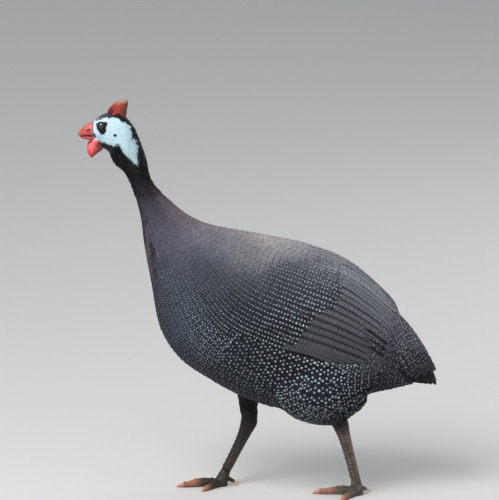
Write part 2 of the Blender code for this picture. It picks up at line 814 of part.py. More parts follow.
def make_foot(plan):
    """The pad, three front toes with scutes above and pads below, and the short raised hind toe."""
    pad = np.array(plan["pad"])
    ankle = np.array(plan["ankle"])
    down = ankle - shank_centre(plan, 0.98)
    down = down / np.linalg.norm(down)
    start = ankle + down * GAP
    straight_down = (0.0, 0.0, -1.0)
    rings = [tube_ring(start, down, SHANK_RADII[-1] * SHANK_FLATNESS, SHANK_RADII[-1], TOE_SIDES)]
    for share, half_width, half_depth in FOOT_BLOCK:
        way = blend(down, np.array(straight_down), share)
        rings.append(tube_ring(blend(start, pad, share), way, half_width, half_depth, TOE_SIDES))
    under = (pad[0], pad[1], -PAD_SINK)
    rings.append(tube_ring(under, straight_down, PAD_HALF_WIDTH, PAD_HALF_DEPTH, TOE_SIDES))
    foot = loft("foot", rings)
    toes = []
    for toe in TOES:
        centres, radii, direction = toe_course(plan, toe)
        toe_rings = []
        for k, (centre, radius) in enumerate(zip(centres, radii)):
            ring = tube_ring(centre, direction, radius, radius * TOE_FLATNESS, TOE_SIDES, UPWARDS)
            if k % 2 == 1:
                for point in ring:
                    point[2] += TOE_SCUTE_STEP if point[2] > centre[2] else 0.0
            toe_rings.append(ring)
        toes.append(loft("toe", toe_rings))
    back = hallux_course(plan)
    toes.append(loft("hallux", [
        tube_ring(centre, back[-1][0] - back[0][0], radius, radius, TOE_SIDES, UPWARDS)
        for centre, radius in back
    ]))
    apply_boolean(foot, "UNION", toes)
    apply_boolean(foot, "DIFFERENCE", [box("under", (-300.0, -150.0, -60.0), (300.0, 150.0, 0.0))])
    return foot


def hallux_course(plan):
    """The hind toe's stations as (centre, radius). It leaves the inner side of the ankle."""
    heading = math.radians(plan["heading"] + 180.0 - plan["side"] * HALLUX_SPLAY)
    direction = np.array([math.cos(heading), math.sin(heading), -HALLUX_DROP])
    direction = direction / np.linalg.norm(direction)
    start = blend(np.array(plan["ankle"]), np.array(plan["pad"]), 0.35)
    start[2] = HALLUX_LIFT
    return [
        (start + direction * (HALLUX_LENGTH * share + HALLUX_OUT), blend(*HALLUX_RADII, share))
        for share in (0.0, 0.5, 1.0)
    ]


def make_claw(start, direction, radius, length, drop):
    """A blunt curved claw that begins at the end of a toe."""
    direction = np.array(direction) / np.linalg.norm(direction)
    rings = []
    for share in CLAW_STATIONS:
        centre = start + direction * (GAP + length * share)
        centre[2] -= drop * share ** CLAW_CURVE
        size = radius * (1.0 - CLAW_TAPER * share)
        rings.append(tube_ring(centre, direction, size, size, CLAW_SIDES, UPWARDS))
    tip = start + direction * (GAP + length) + np.array([0.0, 0.0, -drop])
    return loft("claw", rings, tip=tip)


def make_claws(key, plan, material):
    """The four claws of one foot."""
    for toe in TOES:
        centres, radii, direction = toe_course(plan, toe)
        drop = centres[-1][2] - CLAW_TIP_LIFT
        claw = make_claw(centres[-1], direction, radii[-1] * CLAW_FIT, CLAW_LENGTH, drop)
        finish(claw, f"claw_{key}_{toe[0]}", material)
    back = hallux_course(plan)
    direction = back[-1][0] - back[0][0]
    claw = make_claw(back[-1][0], direction, back[-1][1] * CLAW_FIT, HALLUX_CLAW_LENGTH, CLAW_TIP_LIFT)
    finish(claw, f"claw_{key}_hallux", material)


def clear_scene():
    """Starts from an empty scene."""
    for item in list(bpy.data.objects):
        bpy.data.objects.remove(item, do_unlink=True)


clear_scene()
PARTS = bpy.data.collections.new("guinea_fowl")
bpy.context.scene.collection.children.link(PARTS)
random.seed(FEATHER_SEED)

PALE_SKIN = make_material("pale_skin", (0.62, 0.74, 0.80), 0.55)
RED_SKIN = make_material("red_skin", (0.62, 0.10, 0.07), 0.45)
CASQUE_HORN = make_material("casque_horn", (0.45, 0.16, 0.08), 0.5)
EYE_DARK = make_material("eye_dark", (0.02, 0.015, 0.012), 0.1)
PLUMAGE = make_material("plumage", (0.10, 0.105, 0.115), 0.75)
NECK_PLUMAGE = make_material("neck_plumage", (0.11, 0.095, 0.115), 0.75)
LEG_SKIN = make_material("leg_skin", (0.09, 0.075, 0.065), 0.6)
CLAW_HORN = make_material("claw_horn", (0.50, 0.28, 0.18), 0.5)

torso_form = make_torso()
head_form = body_length("head", 0.0, NECK_TOP, HEAD_STEPS, HEAD_SIDES)
finish(make_casque(head_form), "casque", CASQUE_HORN)
for wattle_key, wattle_side in (("l", LEFT), ("r", RIGHT)):
    finish(make_wattle(wattle_side, head_form), f"wattle_{wattle_key}", RED_SKIN)
finish(make_head(head_form), "head", PALE_SKIN)
finish(make_bill_upper(), "bill_upper", RED_SKIN)
finish(bill_half("bill_lower", BILL_LOWER), "bill_lower", RED_SKIN)
for eye_key, eye_side in (("l", LEFT), ("r", RIGHT)):
    eye_centre = (EYE_PLACE[0], eye_side * EYE_OUT, EYE_PLACE[1])
    finish(ball("eye", eye_centre, [EYE_RADIUS] * 3), f"eye_{eye_key}", EYE_DARK)
finish(make_neck(), "neck", NECK_PLUMAGE)
for wing_key, wing_side in (("l", LEFT), ("r", RIGHT)):
    finish(make_wing(wing_side, torso_form), f"wing_{wing_key}", PLUMAGE)
finish(make_tail(torso_form), "tail", PLUMAGE)
for leg_key, leg_plan in LEG_PLANS.items():
    finish(make_thigh(leg_plan, torso_form), f"thigh_{leg_key}", PLUMAGE)
    finish(make_shank(leg_plan), f"shank_{leg_key}", LEG_SKIN)
    finish(make_foot(leg_plan), f"foot_{leg_key}", LEG_SKIN)
    make_claws(leg_key, leg_plan, CLAW_HORN)
finish(torso_form, "torso", PLUMAGE)
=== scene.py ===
# %% [markdown]
# # A life-size guinea fowl
# This lesson dresses the plain solids of a helmeted guinea fowl: bare head skin, horn, scaly legs and
# several thousand feathers with their white spots. The solids give every place and size, so the script
# starts by loading them and measures them wherever it can.

# %% Load the solids and note their box
import math
import random

import bmesh
import bpy
import numpy as np
from mathutils import Matrix, Vector, noise
from mathutils.bvhtree import BVHTree
from mathutils.kdtree import KDTree


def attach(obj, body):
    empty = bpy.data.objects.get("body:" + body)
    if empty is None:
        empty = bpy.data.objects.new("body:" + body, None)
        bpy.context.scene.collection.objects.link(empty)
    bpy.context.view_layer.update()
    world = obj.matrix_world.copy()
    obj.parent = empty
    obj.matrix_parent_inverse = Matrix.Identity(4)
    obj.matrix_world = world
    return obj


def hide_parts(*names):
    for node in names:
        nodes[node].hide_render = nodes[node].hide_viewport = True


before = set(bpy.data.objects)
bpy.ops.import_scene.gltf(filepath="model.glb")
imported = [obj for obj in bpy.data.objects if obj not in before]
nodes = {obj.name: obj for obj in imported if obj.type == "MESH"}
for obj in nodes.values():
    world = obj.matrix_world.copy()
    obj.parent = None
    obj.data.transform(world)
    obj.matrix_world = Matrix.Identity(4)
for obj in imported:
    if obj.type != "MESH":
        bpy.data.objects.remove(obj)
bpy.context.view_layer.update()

MM = 0.001
random.seed(4)
chance = np.random.default_rng(4)

# %% [markdown]
# ## The camera
# The photo looks level along the bird's left side from a little above, through a long lens: the far foot
# is hardly smaller than the near one. A long lens is a camera that stands far off, so the distance is
# chosen first and the lens follows from the width of the picture at the bird.

# %% Set up the camera
# In mm: how far off the camera stands, how much the picture shows across the bird, and where it looks.
VIEW_DISTANCE = 12000.0
PICTURE_WIDTH = 583.8
AIM = Vector((-13.2, 0.0, 289.4))
VIEW_ELEVATION = math.radians(12.0)
SENSOR_WIDTH = 36.0


def linked(name, data):
    """A new object in the scene that carries the given data."""
    item = bpy.data.objects.new(name, data)
    bpy.context.scene.collection.objects.link(item)
    return item


camera_data = bpy.data.cameras.new("camera")
camera_data.sensor_width = SENSOR_WIDTH
camera_data.lens = SENSOR_WIDTH * VIEW_DISTANCE / PICTURE_WIDTH
camera_data.clip_end = 5.0 * VIEW_DISTANCE * MM
camera = linked("camera", camera_data)
way_out = Vector((0.0, -math.cos(VIEW_ELEVATION), math.sin(VIEW_ELEVATION)))
camera.location = (AIM + way_out * VIEW_DISTANCE) * MM
camera.rotation_euler = way_out.to_track_quat("Z", "Y").to_euler()
bpy.context.scene.camera = camera
print("lens:", round(camera_data.lens, 1), "mm at", VIEW_DISTANCE, "mm")

# %% [markdown]
# ## Colours
# Colours read off a picture are display values from 0 to 255. The shaders want linear light, so each
# named colour goes through this helper.

# %% Turn display colours into linear ones
def display(red, green, blue):
    """A linear colour from display values."""
    values = np.array([red, green, blue]) / 255.0
    return np.where(values <= 0.04045, values / 12.92, ((values + 0.055) / 1.055) ** 2.4)


def displayed(rows):
    """Linear colours from rows of display values."""
    return np.array([display(*row) for row in rows])


print("mid grey is", round(float(display(128, 128, 128)[0]), 3))

# %% [markdown]
# ## The rows of the plumage
# Feathers grow in rows round the body and lie towards the tail. A bird's body bends at the neck, so the
# rows are slanted lines that fan out at the back of the neck. Each line here runs from the under side to
# the upper side. A place on the coat is then (line, angle), with the angle going round from the middle
# of the back, over the left side at 90 degrees.

# %% Name the lines that the rows follow
# Under side x, z and upper side x, z, for every second line.
ROW_LINES = np.array([
    (-194.6, 420.7, -195.7, 441.0),  # root of the bill
    (-183.5, 411.0, -182.0, 450.5),
    (-175.3, 403.5, -160.1, 449.0),  # ear
    (-168.8, 390.9, -140.2, 417.1),
    (-156.5, 379.0, -130.8, 381.0),
    (-143.7, 343.9, -108.6, 351.1),  # middle of the neck
    (-136.7, 299.9, -66.5, 321.5),
    (-126.1, 240.4, -17.3, 311.2),
    (-94.9, 159.5, 24.8, 303.1),  # breast and shoulders
    (-29.0, 117.8, 66.9, 292.4),
    (45.9, 97.6, 106.7, 273.9),  # belly and back
    (110.2, 110.7, 142.0, 239.0),
    (149.0, 122.5, 167.0, 202.5),  # rump
    (181.0, 130.5, 184.5, 156.0),
    (203.0, 136.5, 202.5, 130.0),  # past the end of the body
])


def curve_through(rows, place):
    """A smooth value between rows."""
    last = len(rows) - 1
    place = min(max(place, 0.0), last - 1e-9)
    index = int(place)
    t = place - index
    before, start, end, after = (rows[min(max(index + k, 0), last)] for k in (-1, 0, 1, 2))
    return 0.5 * (
        2.0 * start
        + (end - before) * t
        + (2.0 * before - 5.0 * start + 4.0 * end - after) * t * t
        + (3.0 * start - before - 3.0 * end + after) * t ** 3
    )


print("row lines:", 2 * (len(ROW_LINES) - 1))

# %% [markdown]
# ## One body form to measure
# The head, neck and torso are separate solids with thin cuts between them. Copies of them, grown by a
# hair and remeshed together, close the cuts and give one surface that rays can be shot at.

# %% Fuse copies of the solids
FUSE_GROW = 0.35
FUSE_VOXEL = 2.4
SAME_PLACE = 1e-6


def as_object(name, form):
    """A new object in the scene with the mesh of a form, which is used up."""
    mesh = bpy.data.meshes.new(name)
    form.to_mesh(mesh)
    form.free()
    return linked(name, mesh)


def settle(item):
    """Applies an object's modifiers to its mesh."""
    depsgraph = bpy.context.evaluated_depsgraph_get()
    mesh = bpy.data.meshes.new_from_object(item.evaluated_get(depsgraph), depsgraph=depsgraph)
    item.modifiers.clear()
    item.data = mesh


def fused(name, node_names, grow=FUSE_GROW, voxel=FUSE_VOXEL):
    """One closed mesh object fused from copies of solids, grown by some mm."""
    form = bmesh.new()
    for node in node_names:
        piece = bmesh.new()
        piece.from_mesh(nodes[node].data)
        bmesh.ops.remove_doubles(piece, verts=piece.verts, dist=SAME_PLACE)
        piece.normal_update()
        for vert in piece.verts:
            vert.co += vert.normal * grow * MM
        grown = bpy.data.meshes.new("grown")
        piece.to_mesh(grown)
        piece.free()
        form.from_mesh(grown)
        bpy.data.meshes.remove(grown)
    item = as_object(name, form)
    remesh = item.modifiers.new("fuse", "REMESH")
    remesh.mode = "VOXEL"
    remesh.voxel_size = voxel * MM
    settle(item)
    return item


def surface_tree(item):
    """A search tree of an object's surface."""
    form = bmesh.new()
    form.from_mesh(item.data)
    tree = BVHTree.FromBMesh(form)
    form.free()
    return tree


body_form = fused("body_form", ["head", "neck", "torso"])
body_tree = surface_tree(body_form)
wing_trees = [surface_tree(nodes[name]) for name in ("wing_l", "wing_r")]
thigh_trees = [surface_tree(nodes[name]) for name in ("thigh_l", "thigh_r")]
print("body form:", len(body_form.data.polygons), "faces")

# %% [markdown]
# ## A grid of the coat
# Everything that grows on the body is placed by reading a grid of its surface: one row of places for each
# line, one place every few degrees round it. The places are found by shooting rays from inside. A ray may
# meet several faces of a wing or thigh, so for those the last one within reach counts.

# %% Name the grid and shoot rays
FIRST_LINE = 2.0
LAST_LINE = 27.0
LINE_STEP = 0.2
ANGLE_STEP = 3.0
MOST_FACES = 12
PAST_A_FACE = 1e-5
grid_lines = np.arange(FIRST_LINE, LAST_LINE + LINE_STEP / 2.0, LINE_STEP)
grid_angles = np.arange(0.0, 360.0, ANGLE_STEP)


def shoot(tree, start, way):
    """The first hit of a ray, or nothing."""
    hit = tree.ray_cast(Vector(start) * MM, Vector(way).normalized())[0]
    return None if hit is None else np.array(hit) / MM


def farthest(tree, start, way, reach):
    """How far along a ray a surface is last met, within a reach."""
    way = Vector(way).normalized()
    place = Vector(start) * MM
    found = 0.0
    for _ in range(MOST_FACES):
        hit = tree.ray_cast(place, way, (reach - found) * MM)[0]
        if hit is None:
            break
        found = (hit - Vector(start) * MM).length / MM
        place = hit + way * PAST_A_FACE
    return found


def from_back(angle):
    """The angle from the middle of the back, 0 to 180, on either side."""
    return np.abs((np.asarray(angle) + 180.0) % 360.0 - 180.0)


def smoothstep(value, low, high):
    """A value that eases from 0 at low to 1 at high."""
    share = np.clip((value - low) / (high - low), 0.0, 1.0)
    return share * share * (3.0 - 2.0 * share)


def fade(distance, reach, power=2):
    """1 at no distance, fading to 0 past a reach. A higher power makes a firmer edge."""
    return np.exp(-(distance / reach) ** power)


print("grid:", len(grid_lines), "lines by", len(grid_angles), "angles")

# %% [markdown]
# ## Measuring the body
# The rays start in the middle of each row line and go out in its plane. A second look from the body's
# surface finds how high the folded wing and the thigh stand over it there. Low on the belly the thigh's
# height fades out, since there the coat hangs free of the leg.

# %% Measure the body, the wings and the thighs
WING_REACH = 14.0
THIGH_REACH = 60.0
THIGH_COVER = 24.0
THIGH_FADE = (132.0, 156.0)


def measure_body():
    """The body's surface, and the wings' and thighs' heights over it, at every place of the grid."""
    surface = np.zeros((len(grid_lines), len(grid_angles), 3))
    wing = np.zeros(surface.shape[:2])
    thigh = np.zeros(surface.shape[:2])
    faded = 1.0 - smoothstep(from_back(grid_angles), *THIGH_FADE)
    for i, line in enumerate(grid_lines):
        low_x, low_z, top_x, top_z = curve_through(ROW_LINES, line / 2.0)
        middle = np.array([(low_x + top_x) / 2.0, 0.0, (low_z + top_z) / 2.0])
        up = np.array([(top_x - low_x) / 2.0, 0.0, (top_z - low_z) / 2.0])
        side_hit = shoot(body_tree, middle, (0.0, -1.0, 0.0))
        half_width = abs(side_hit[1]) if side_hit is not None else np.linalg.norm(up)
        for j, angle in enumerate(np.radians(grid_angles)):
            way = up * math.cos(angle) + np.array([0.0, -half_width * math.sin(angle), 0.0])
            hit = shoot(body_tree, middle, way)
            surface[i, j] = middle + way if hit is None else hit
            side = 0 if way[1] < 0.0 else 1
            wing[i, j] = farthest(wing_trees[side], surface[i, j], way, WING_REACH)
            thigh[i, j] = farthest(thigh_trees[side], surface[i, j], way, THIGH_REACH)
    return surface, wing, np.minimum(thigh, THIGH_COVER) * faded


bare_surface, wing_height, thigh_height = measure_body()
print("thighs stand up to", round(float(thigh_height.max()), 1), "mm over the body")

# %% [markdown]
# ## Smoothing the coat
# A real coat closes softly over the edges of the wing and flows over the thigh, so the measured heights
# are blurred before they are laid on the body. Over the middle of the back, where the two wings meet, only
# a part of their height is kept.

# %% Smooth the measures into one coat
# Line, and how deep the skin lies under the coat there.
COAT_DEPTH = np.array([(5.2, 0.0), (6.5, 0.5), (8.0, 0.6), (13.0, 0.7), (16.0, 1.2), (27.0, 1.3)])
WING_AT_BACK = 0.4
WING_EASE = (4.0, 26.0)
COAT_BLUR = 5


def blurred(grid, rounds):
    """A grid smoothed along the lines and round the body."""
    for _ in range(rounds):
        grid = (np.roll(grid, 1, axis=1) + 2.0 * grid + np.roll(grid, -1, axis=1)) / 4.0
        ends = np.concatenate([grid[:1], grid, grid[-1:]])
        grid = (ends[:-2] + 2.0 * ends[1:-1] + ends[2:]) / 4.0
    return grid


def unit(vectors):
    """Vectors brought to length one."""
    return vectors / np.maximum(np.linalg.norm(vectors, axis=-1, keepdims=True), 1e-9)


def surface_normals(surface, rounds):
    """The outward directions of a grid of points that goes round a form."""
    normals = np.cross(
        np.gradient(surface, axis=0),
        np.roll(surface, -1, axis=1) - np.roll(surface, 1, axis=1),
    )
    normals = unit(blurred(unit(normals), rounds))
    middles = surface.mean(axis=1, keepdims=True)
    return normals * (1.0 if np.sum(normals * (surface - middles)) > 0.0 else -1.0)


def coat_grid(surface, first, step, depth):
    """A grid to lay feathers on: points, outward directions, coat depth, mm for each line and degree."""
    around = np.roll(surface, -1, axis=1) - np.roll(surface, 1, axis=1)
    return {
        "first": first, "step": step, "surface": surface, "outward": surface_normals(surface, 1),
        "pace": np.linalg.norm(np.gradient(surface, axis=0), axis=-1) / step,
        "girth": np.linalg.norm(around, axis=-1) / (2.0 * ANGLE_STEP),
        "depth": np.repeat(depth[:, None], surface.shape[1], axis=1),
    }


bare_surface = blurred(bare_surface, 1)
kept_height = WING_AT_BACK + (1.0 - WING_AT_BACK) * smoothstep(from_back(grid_angles), *WING_EASE)
wing_height = wing_height * kept_height
coat_height = blurred(np.maximum(wing_height, thigh_height), COAT_BLUR)
wing_height = blurred(wing_height, COAT_BLUR)
raised = bare_surface + surface_normals(bare_surface, 0) * coat_height[..., None]
skin_depth = np.interp(grid_lines, COAT_DEPTH[:, 0], COAT_DEPTH[:, 1])
body = coat_grid(raised, FIRST_LINE, LINE_STEP, skin_depth)
print("wings stand up to", round(float(wing_height.max()), 1), "mm over the body")

# %% [markdown]
# ## Reading the grid
# A place between grid points is a weighted mean of its four neighbours. The function takes whole arrays
# of places, so thousands of feathers are read in one go.

# %% Read the grid anywhere
def read(form, key, line, angle):
    """What a form's grid says at places given as arrays of lines and angles."""
    grid = form[key]
    row = np.clip((np.asarray(line) - form["first"]) / form["step"], 0.0, len(grid) - 1.001)
    column = (np.asarray(angle) / ANGLE_STEP) % grid.shape[1]
    i = row.astype(int)
    j = column.astype(int) % grid.shape[1]
    s = row - i
    t = column - np.floor(column)
    after = (j + 1) % grid.shape[1]
    if grid.ndim == 3:
        s = s[..., None]
        t = t[..., None]
    near = grid[i, j] * (1.0 - t) + grid[i, after] * t
    far = grid[i + 1, j] * (1.0 - t) + grid[i + 1, after] * t
    return near * (1.0 - s) + far * s


print("top of the back:", read(body, "surface", 18.0, 0.0).round(1))

# %% [markdown]
# ## How the plumage changes over the body
# Colour, spacing and spot size all change slowly from neck to tail and from back to belly. Instead of
# painting them, a few places are named with their values, and any other place takes a mean of these,
# weighted by nearness.

# %% Name the looks of a few places
# Line, angle from the back, red, green, blue as display values.
PLUME_COLOURS = np.array([
    (6.5, 0, 20, 19, 22), (6.5, 180, 16, 16, 19), (8.0, 0, 21, 20, 23), (8.0, 90, 18, 18, 21),
    (8.0, 180, 18, 17, 20), (9.2, 0, 22, 21, 24), (9.2, 90, 22, 21, 25), (9.2, 180, 22, 21, 25),
    (9.7, 90, 30, 27, 32), (10.4, 0, 76, 67, 69), (10.4, 90, 68, 62, 72), (10.4, 180, 54, 48, 57),
    (11.0, 0, 104, 92, 94), (11.0, 60, 92, 84, 92), (11.0, 100, 76, 71, 83), (11.0, 180, 62, 57, 66),
    (12.5, 0, 116, 107, 109), (12.5, 60, 94, 90, 99), (12.5, 95, 76, 74, 88), (12.5, 180, 62, 56, 64),
    (13.6, 0, 132, 126, 126), (13.6, 50, 102, 101, 110), (13.6, 90, 70, 73, 85), (13.6, 180, 50, 50, 60),
    (15.0, 0, 156, 150, 148), (15.2, 24, 140, 134, 133), (15.0, 45, 96, 96, 102), (14.8, 85, 42, 45, 53),
    # The look at line 15.9, angle 97 is a painted shadow: a dark line along the lower front edge of the
    # folded wing.
    (14.8, 110, 52, 58, 67), (15.0, 130, 49, 56, 66), (15.0, 180, 36, 41, 50), (15.9, 97, 32, 36, 44),
    (17.0, 0, 146, 141, 141), (17.0, 60, 50, 52, 58), (17.0, 90, 27, 30, 37), (17.0, 150, 29, 33, 41),
    (18.5, 34, 86, 86, 92), (19.0, 0, 122, 121, 125), (19.0, 60, 35, 37, 43), (19.0, 95, 21, 23, 30),
    (19.0, 150, 23, 27, 35), (21.0, 0, 100, 101, 106), (21.0, 110, 28, 32, 41), (21.0, 170, 21, 24, 30),
    (23.0, 0, 80, 80, 87), (23.0, 90, 54, 56, 64), (23.0, 150, 20, 22, 26), (25.0, 30, 76, 75, 83),
    (25.0, 120, 36, 38, 44), (26.8, 60, 50, 50, 56), (26.8, 150, 22, 23, 26),
])
# Line, angle from the back, spot radius in mm, spot brightness from 0 to 1.
SPOT_LOOKS = np.array([
    (12.4, 0, 0.25, 0.1), (12.4, 90, 0.25, 0.1), (12.7, 180, 0.3, 0.1), (13.3, 90, 0.4, 0.16),
    (13.6, 180, 0.5, 0.18), (14.3, 0, 0.42, 0.2), (14.3, 60, 0.52, 0.26), (14.8, 85, 0.6, 0.3),
    (14.8, 112, 0.9, 0.46), (15.0, 135, 0.85, 0.36), (15.0, 160, 0.78, 0.3), (16.5, 0, 0.46, 0.24),
    (15.8, 108, 1.25, 0.62), (16.0, 75, 0.84, 0.4), (17.0, 50, 0.95, 0.48), (17.4, 88, 1.25, 0.66),
    (16.6, 114, 1.35, 0.62), (17.6, 124, 1.45, 0.52), (17.0, 150, 1.05, 0.32), (18.2, 0, 0.5, 0.28),
    (18.5, 40, 1.05, 0.58), (18.8, 75, 1.4, 0.76), (18.7, 112, 1.55, 0.72), (19.5, 150, 1.25, 0.34),
    (20.5, 0, 0.55, 0.3), (20.5, 112, 1.65, 0.9), (20.8, 142, 1.55, 0.62), (21.5, 122, 1.6, 0.76),
    (22.8, 114, 1.1, 0.42), (22.0, 170, 1.15, 0.3), (22.5, 0, 0.9, 0.4), (23.0, 50, 1.15, 0.52),
    (23.5, 95, 1.2, 0.5), (25.0, 60, 1.25, 0.55), (25.0, 140, 1.2, 0.4), (26.8, 90, 1.1, 0.45),
])
# How far a look carries, in lines and degrees, and the small weight that it keeps beyond.
NEARNESS = (1.1, 24.0)
FAR_WEIGHT = 1e-6


def looks_at(table, line, angle):
    """The mean of a table's looks at places, weighted by nearness in line and angle."""
    line = np.atleast_1d(line)[:, None]
    angle = from_back(np.atleast_1d(angle))[:, None]
    apart = ((line - table[:, 0]) / NEARNESS[0]) ** 2 + ((angle - table[:, 1]) / NEARNESS[1]) ** 2
    weight = np.exp(-apart) + FAR_WEIGHT / (1.0 + apart)
    return weight @ table[:, 2:] / weight.sum(axis=1, keepdims=True)


print("flank spots:", looks_at(SPOT_LOOKS, 20.0, 115.0).round(2))

# %% [markdown]
# ## The shape of one feather
# A contour feather is a thin vane with a narrow root and a round tip. One vane is modelled from a grid:
# x runs across it from -1 to 1 and y along it from 0 to 1. Solidify gives it a second face and a rim, so
# that each copy is a closed body. All the feathers are stamped from a few such vanes.

# %% Model the vanes
WIDEST_AT = 0.45
TIP_NARROWING = 0.88


def vane_outline(along, root_share, shoulder):
    """The half width of a vane, as a share of its widest, from root to tip."""
    widening = root_share + (1.0 - root_share) * min(1.0, along / WIDEST_AT)
    rounding = max(0.0, (along - shoulder) / (1.0 - shoulder))
    return widening * math.sqrt(1.0 - TIP_NARROWING * rounding ** 2)


def as_shape(form):
    """The points and faces of a form, which is used up."""
    form.verts.index_update()
    points = np.array([tuple(vert.co) for vert in form.verts])
    faces = [[vert.index for vert in face.verts] for face in form.faces]
    form.free()
    return points, faces


def make_vane(columns, rows, root_share=0.45, shoulder=0.6, roundness=0.07):
    """A closed vane as points across, along and deep, and its faces."""
    form = bmesh.new()
    bmesh.ops.create_grid(form, x_segments=columns, y_segments=rows, size=1.0)
    for vert in form.verts:
        across = vert.co.x
        along = (vert.co.y + 1.0) / 2.0
        along -= roundness * across ** 2 * along
        vert.co = (across * vane_outline(along, root_share, shoulder), along, 0.0)
    bmesh.ops.solidify(form, geom=form.faces[:], thickness=1.0)
    bmesh.ops.recalc_face_normals(form, faces=form.faces)
    points, faces = as_shape(form)
    depth = points[:, 2]
    points[:, 2] = (depth - depth.max()) / (depth.max() - depth.min())
    return points, faces


def make_low_form(sides, radius, crown_radius):
    """A low flat-topped form of height one, with one side square to the y axis."""
    form = bmesh.new()
    bmesh.ops.create_cone(form, cap_ends=True, segments=sides, radius1=radius, radius2=crown_radius,
                          depth=1.0)
    turn = Matrix.Rotation(math.pi / sides, 3, "Z")
    bmesh.ops.rotate(form, verts=form.verts, cent=(0.0, 0.0, 0.0), matrix=turn)
    points, faces = as_shape(form)
    return points + (0.0, 0.0, 0.5), faces


body_vane = make_vane(4, 5)
small_vane = make_vane(2, 4)
bristle_vane = make_vane(1, 3, root_share=0.7, shoulder=0.3)
long_vane = make_vane(6, 22, root_share=0.6, shoulder=0.86, roundness=0.03)
spot_form = make_low_form(7, 1.0, 0.62)
bar_form = make_low_form(4, 1.41, 1.2)
print("faces in a body vane:", len(body_vane[1]), "in a spot:", len(spot_form[1]))

# %% [markdown]
# ## Laying feathers on the coat
# A feather is told by its root, its tip and its width. Its middle line is read off the grid at a few
# steps, so a long feather bends with the body. Its root is sunk under the coat's surface and its tip
# rises to it, which makes each row lie over the next like tiles.

# %% Lay feathers
VANE_STEPS = 8


def column(value, count):
    """A value for each feather, as a column."""
    return np.broadcast_to(np.asarray(value, float), (count,))[:, None]


def as_vanes(middle, up, downward, width, radius, roll, place, tip):
    """Feathers along middle lines. Their sides are turned to the given downward direction."""
    count = len(middle)
    side = unit(np.cross(up, np.gradient(middle, axis=1)))
    turned = np.sum(side * downward, axis=-1, keepdims=True)
    width = column(width, count)[:, 0]
    return {
        "middle": middle, "side": side * np.where(turned < 0.0, -1.0, 1.0), "up": up, "width": width,
        "camber": (width / 2.0) ** 2 / (2.0 * radius), "roll": column(roll, count)[:, 0],
        "length": np.linalg.norm(np.diff(middle, axis=1), axis=-1).sum(axis=1),
        "place": place, "tip": tip,
    }


def lay(form, root, tip, width, root_lift, tip_lift, bow=0.0, roll=0.0):
    """Feathers laid on a form. Root and tip are (lines, angles), the bow is in degrees, the rest in mm."""
    count = len(root[0])
    share = np.linspace(0.0, 1.0, VANE_STEPS + 1)[None, :]
    lines = column(root[0], count) + (column(tip[0], count) - column(root[0], count)) * share
    angles = column(root[1], count) + (column(tip[1], count) - column(root[1], count)) * share
    sign = np.where((column(tip[1], count) % 360.0) < 180.0, 1.0, -1.0)
    angles = angles - sign * column(bow, count) * np.sin(np.pi * share)
    up = unit(read(form, "outward", lines, angles))
    lift = column(root_lift, count) + (column(tip_lift, count) - column(root_lift, count)) * share
    middle = read(form, "surface", lines, angles) + up * lift[..., None]
    downward = read(form, "surface", lines, angles + sign) - read(form, "surface", lines, angles)
    radius = read(form, "girth", lines[:, -1], angles[:, -1]) * math.degrees(1.0)
    span = form["first"] + form["step"] * len(form["surface"])
    place = np.stack([lines[:, 0] / span, (angles[:, 0] % 360.0) / 360.0], axis=-1)
    return as_vanes(middle, up, downward, width, radius, roll, place, (lines[:, -1], angles[:, -1]))


def on_vanes(vanes, which, across, along, lift):
    """Points over chosen vanes: across from -1 to 1, along from 0 to 1, and a lift in mm."""
    place = np.clip(along, 0.0, 1.0) * VANE_STEPS
    low = np.minimum(place.astype(int), VANE_STEPS - 1)
    share = (place - low)[..., None]

    def station(key):
        return vanes[key][which, low] * (1.0 - share) + vanes[key][which, low + 1] * share

    half = vanes["width"][which] / 2.0
    rise = lift + vanes["roll"][which] * across - vanes["camber"][which] * across ** 2
    sideways = station("side") * (half * across)[..., None]
    return station("middle") + sideways + station("up") * rise[..., None]


print("stations on a feather:", VANE_STEPS + 1)

# %% [markdown]
# ## One mesh of many copies
# Several thousand objects would be slow, so all the copies of a form go into one mesh. Every copy gets a
# small patch of the map for baking, and its place on its own form as a second map.

# %% Join copies into one mesh
PATCH = 0.003
SHARP_ANGLE = math.radians(50.0)


def volumes(points, faces):
    """The volume of each copy of a form, less than nothing for a copy whose faces look inwards."""
    centred = points - points.mean(axis=1, keepdims=True)
    total = np.zeros(len(points))
    for face in faces:
        for second, third in zip(face[1:-1], face[2:]):
            across = np.cross(centred[:, second], centred[:, third])
            total += np.sum(centred[:, face[0]] * across, axis=1) / 6.0
    return total


def fill(items, key, values):
    """Sets one value of every item of a mesh from an array."""
    kind = np.int32 if values.dtype.kind == "i" else np.float32
    items.foreach_set(key, values.astype(kind).ravel())


def paint(mesh, colours):
    """Gives a mesh a colour for each point, in the attribute that the materials read."""
    layer = mesh.attributes.new("plume", "FLOAT_COLOR", "POINT")
    fill(layer.data, "color", np.c_[colours, np.ones(len(colours))])


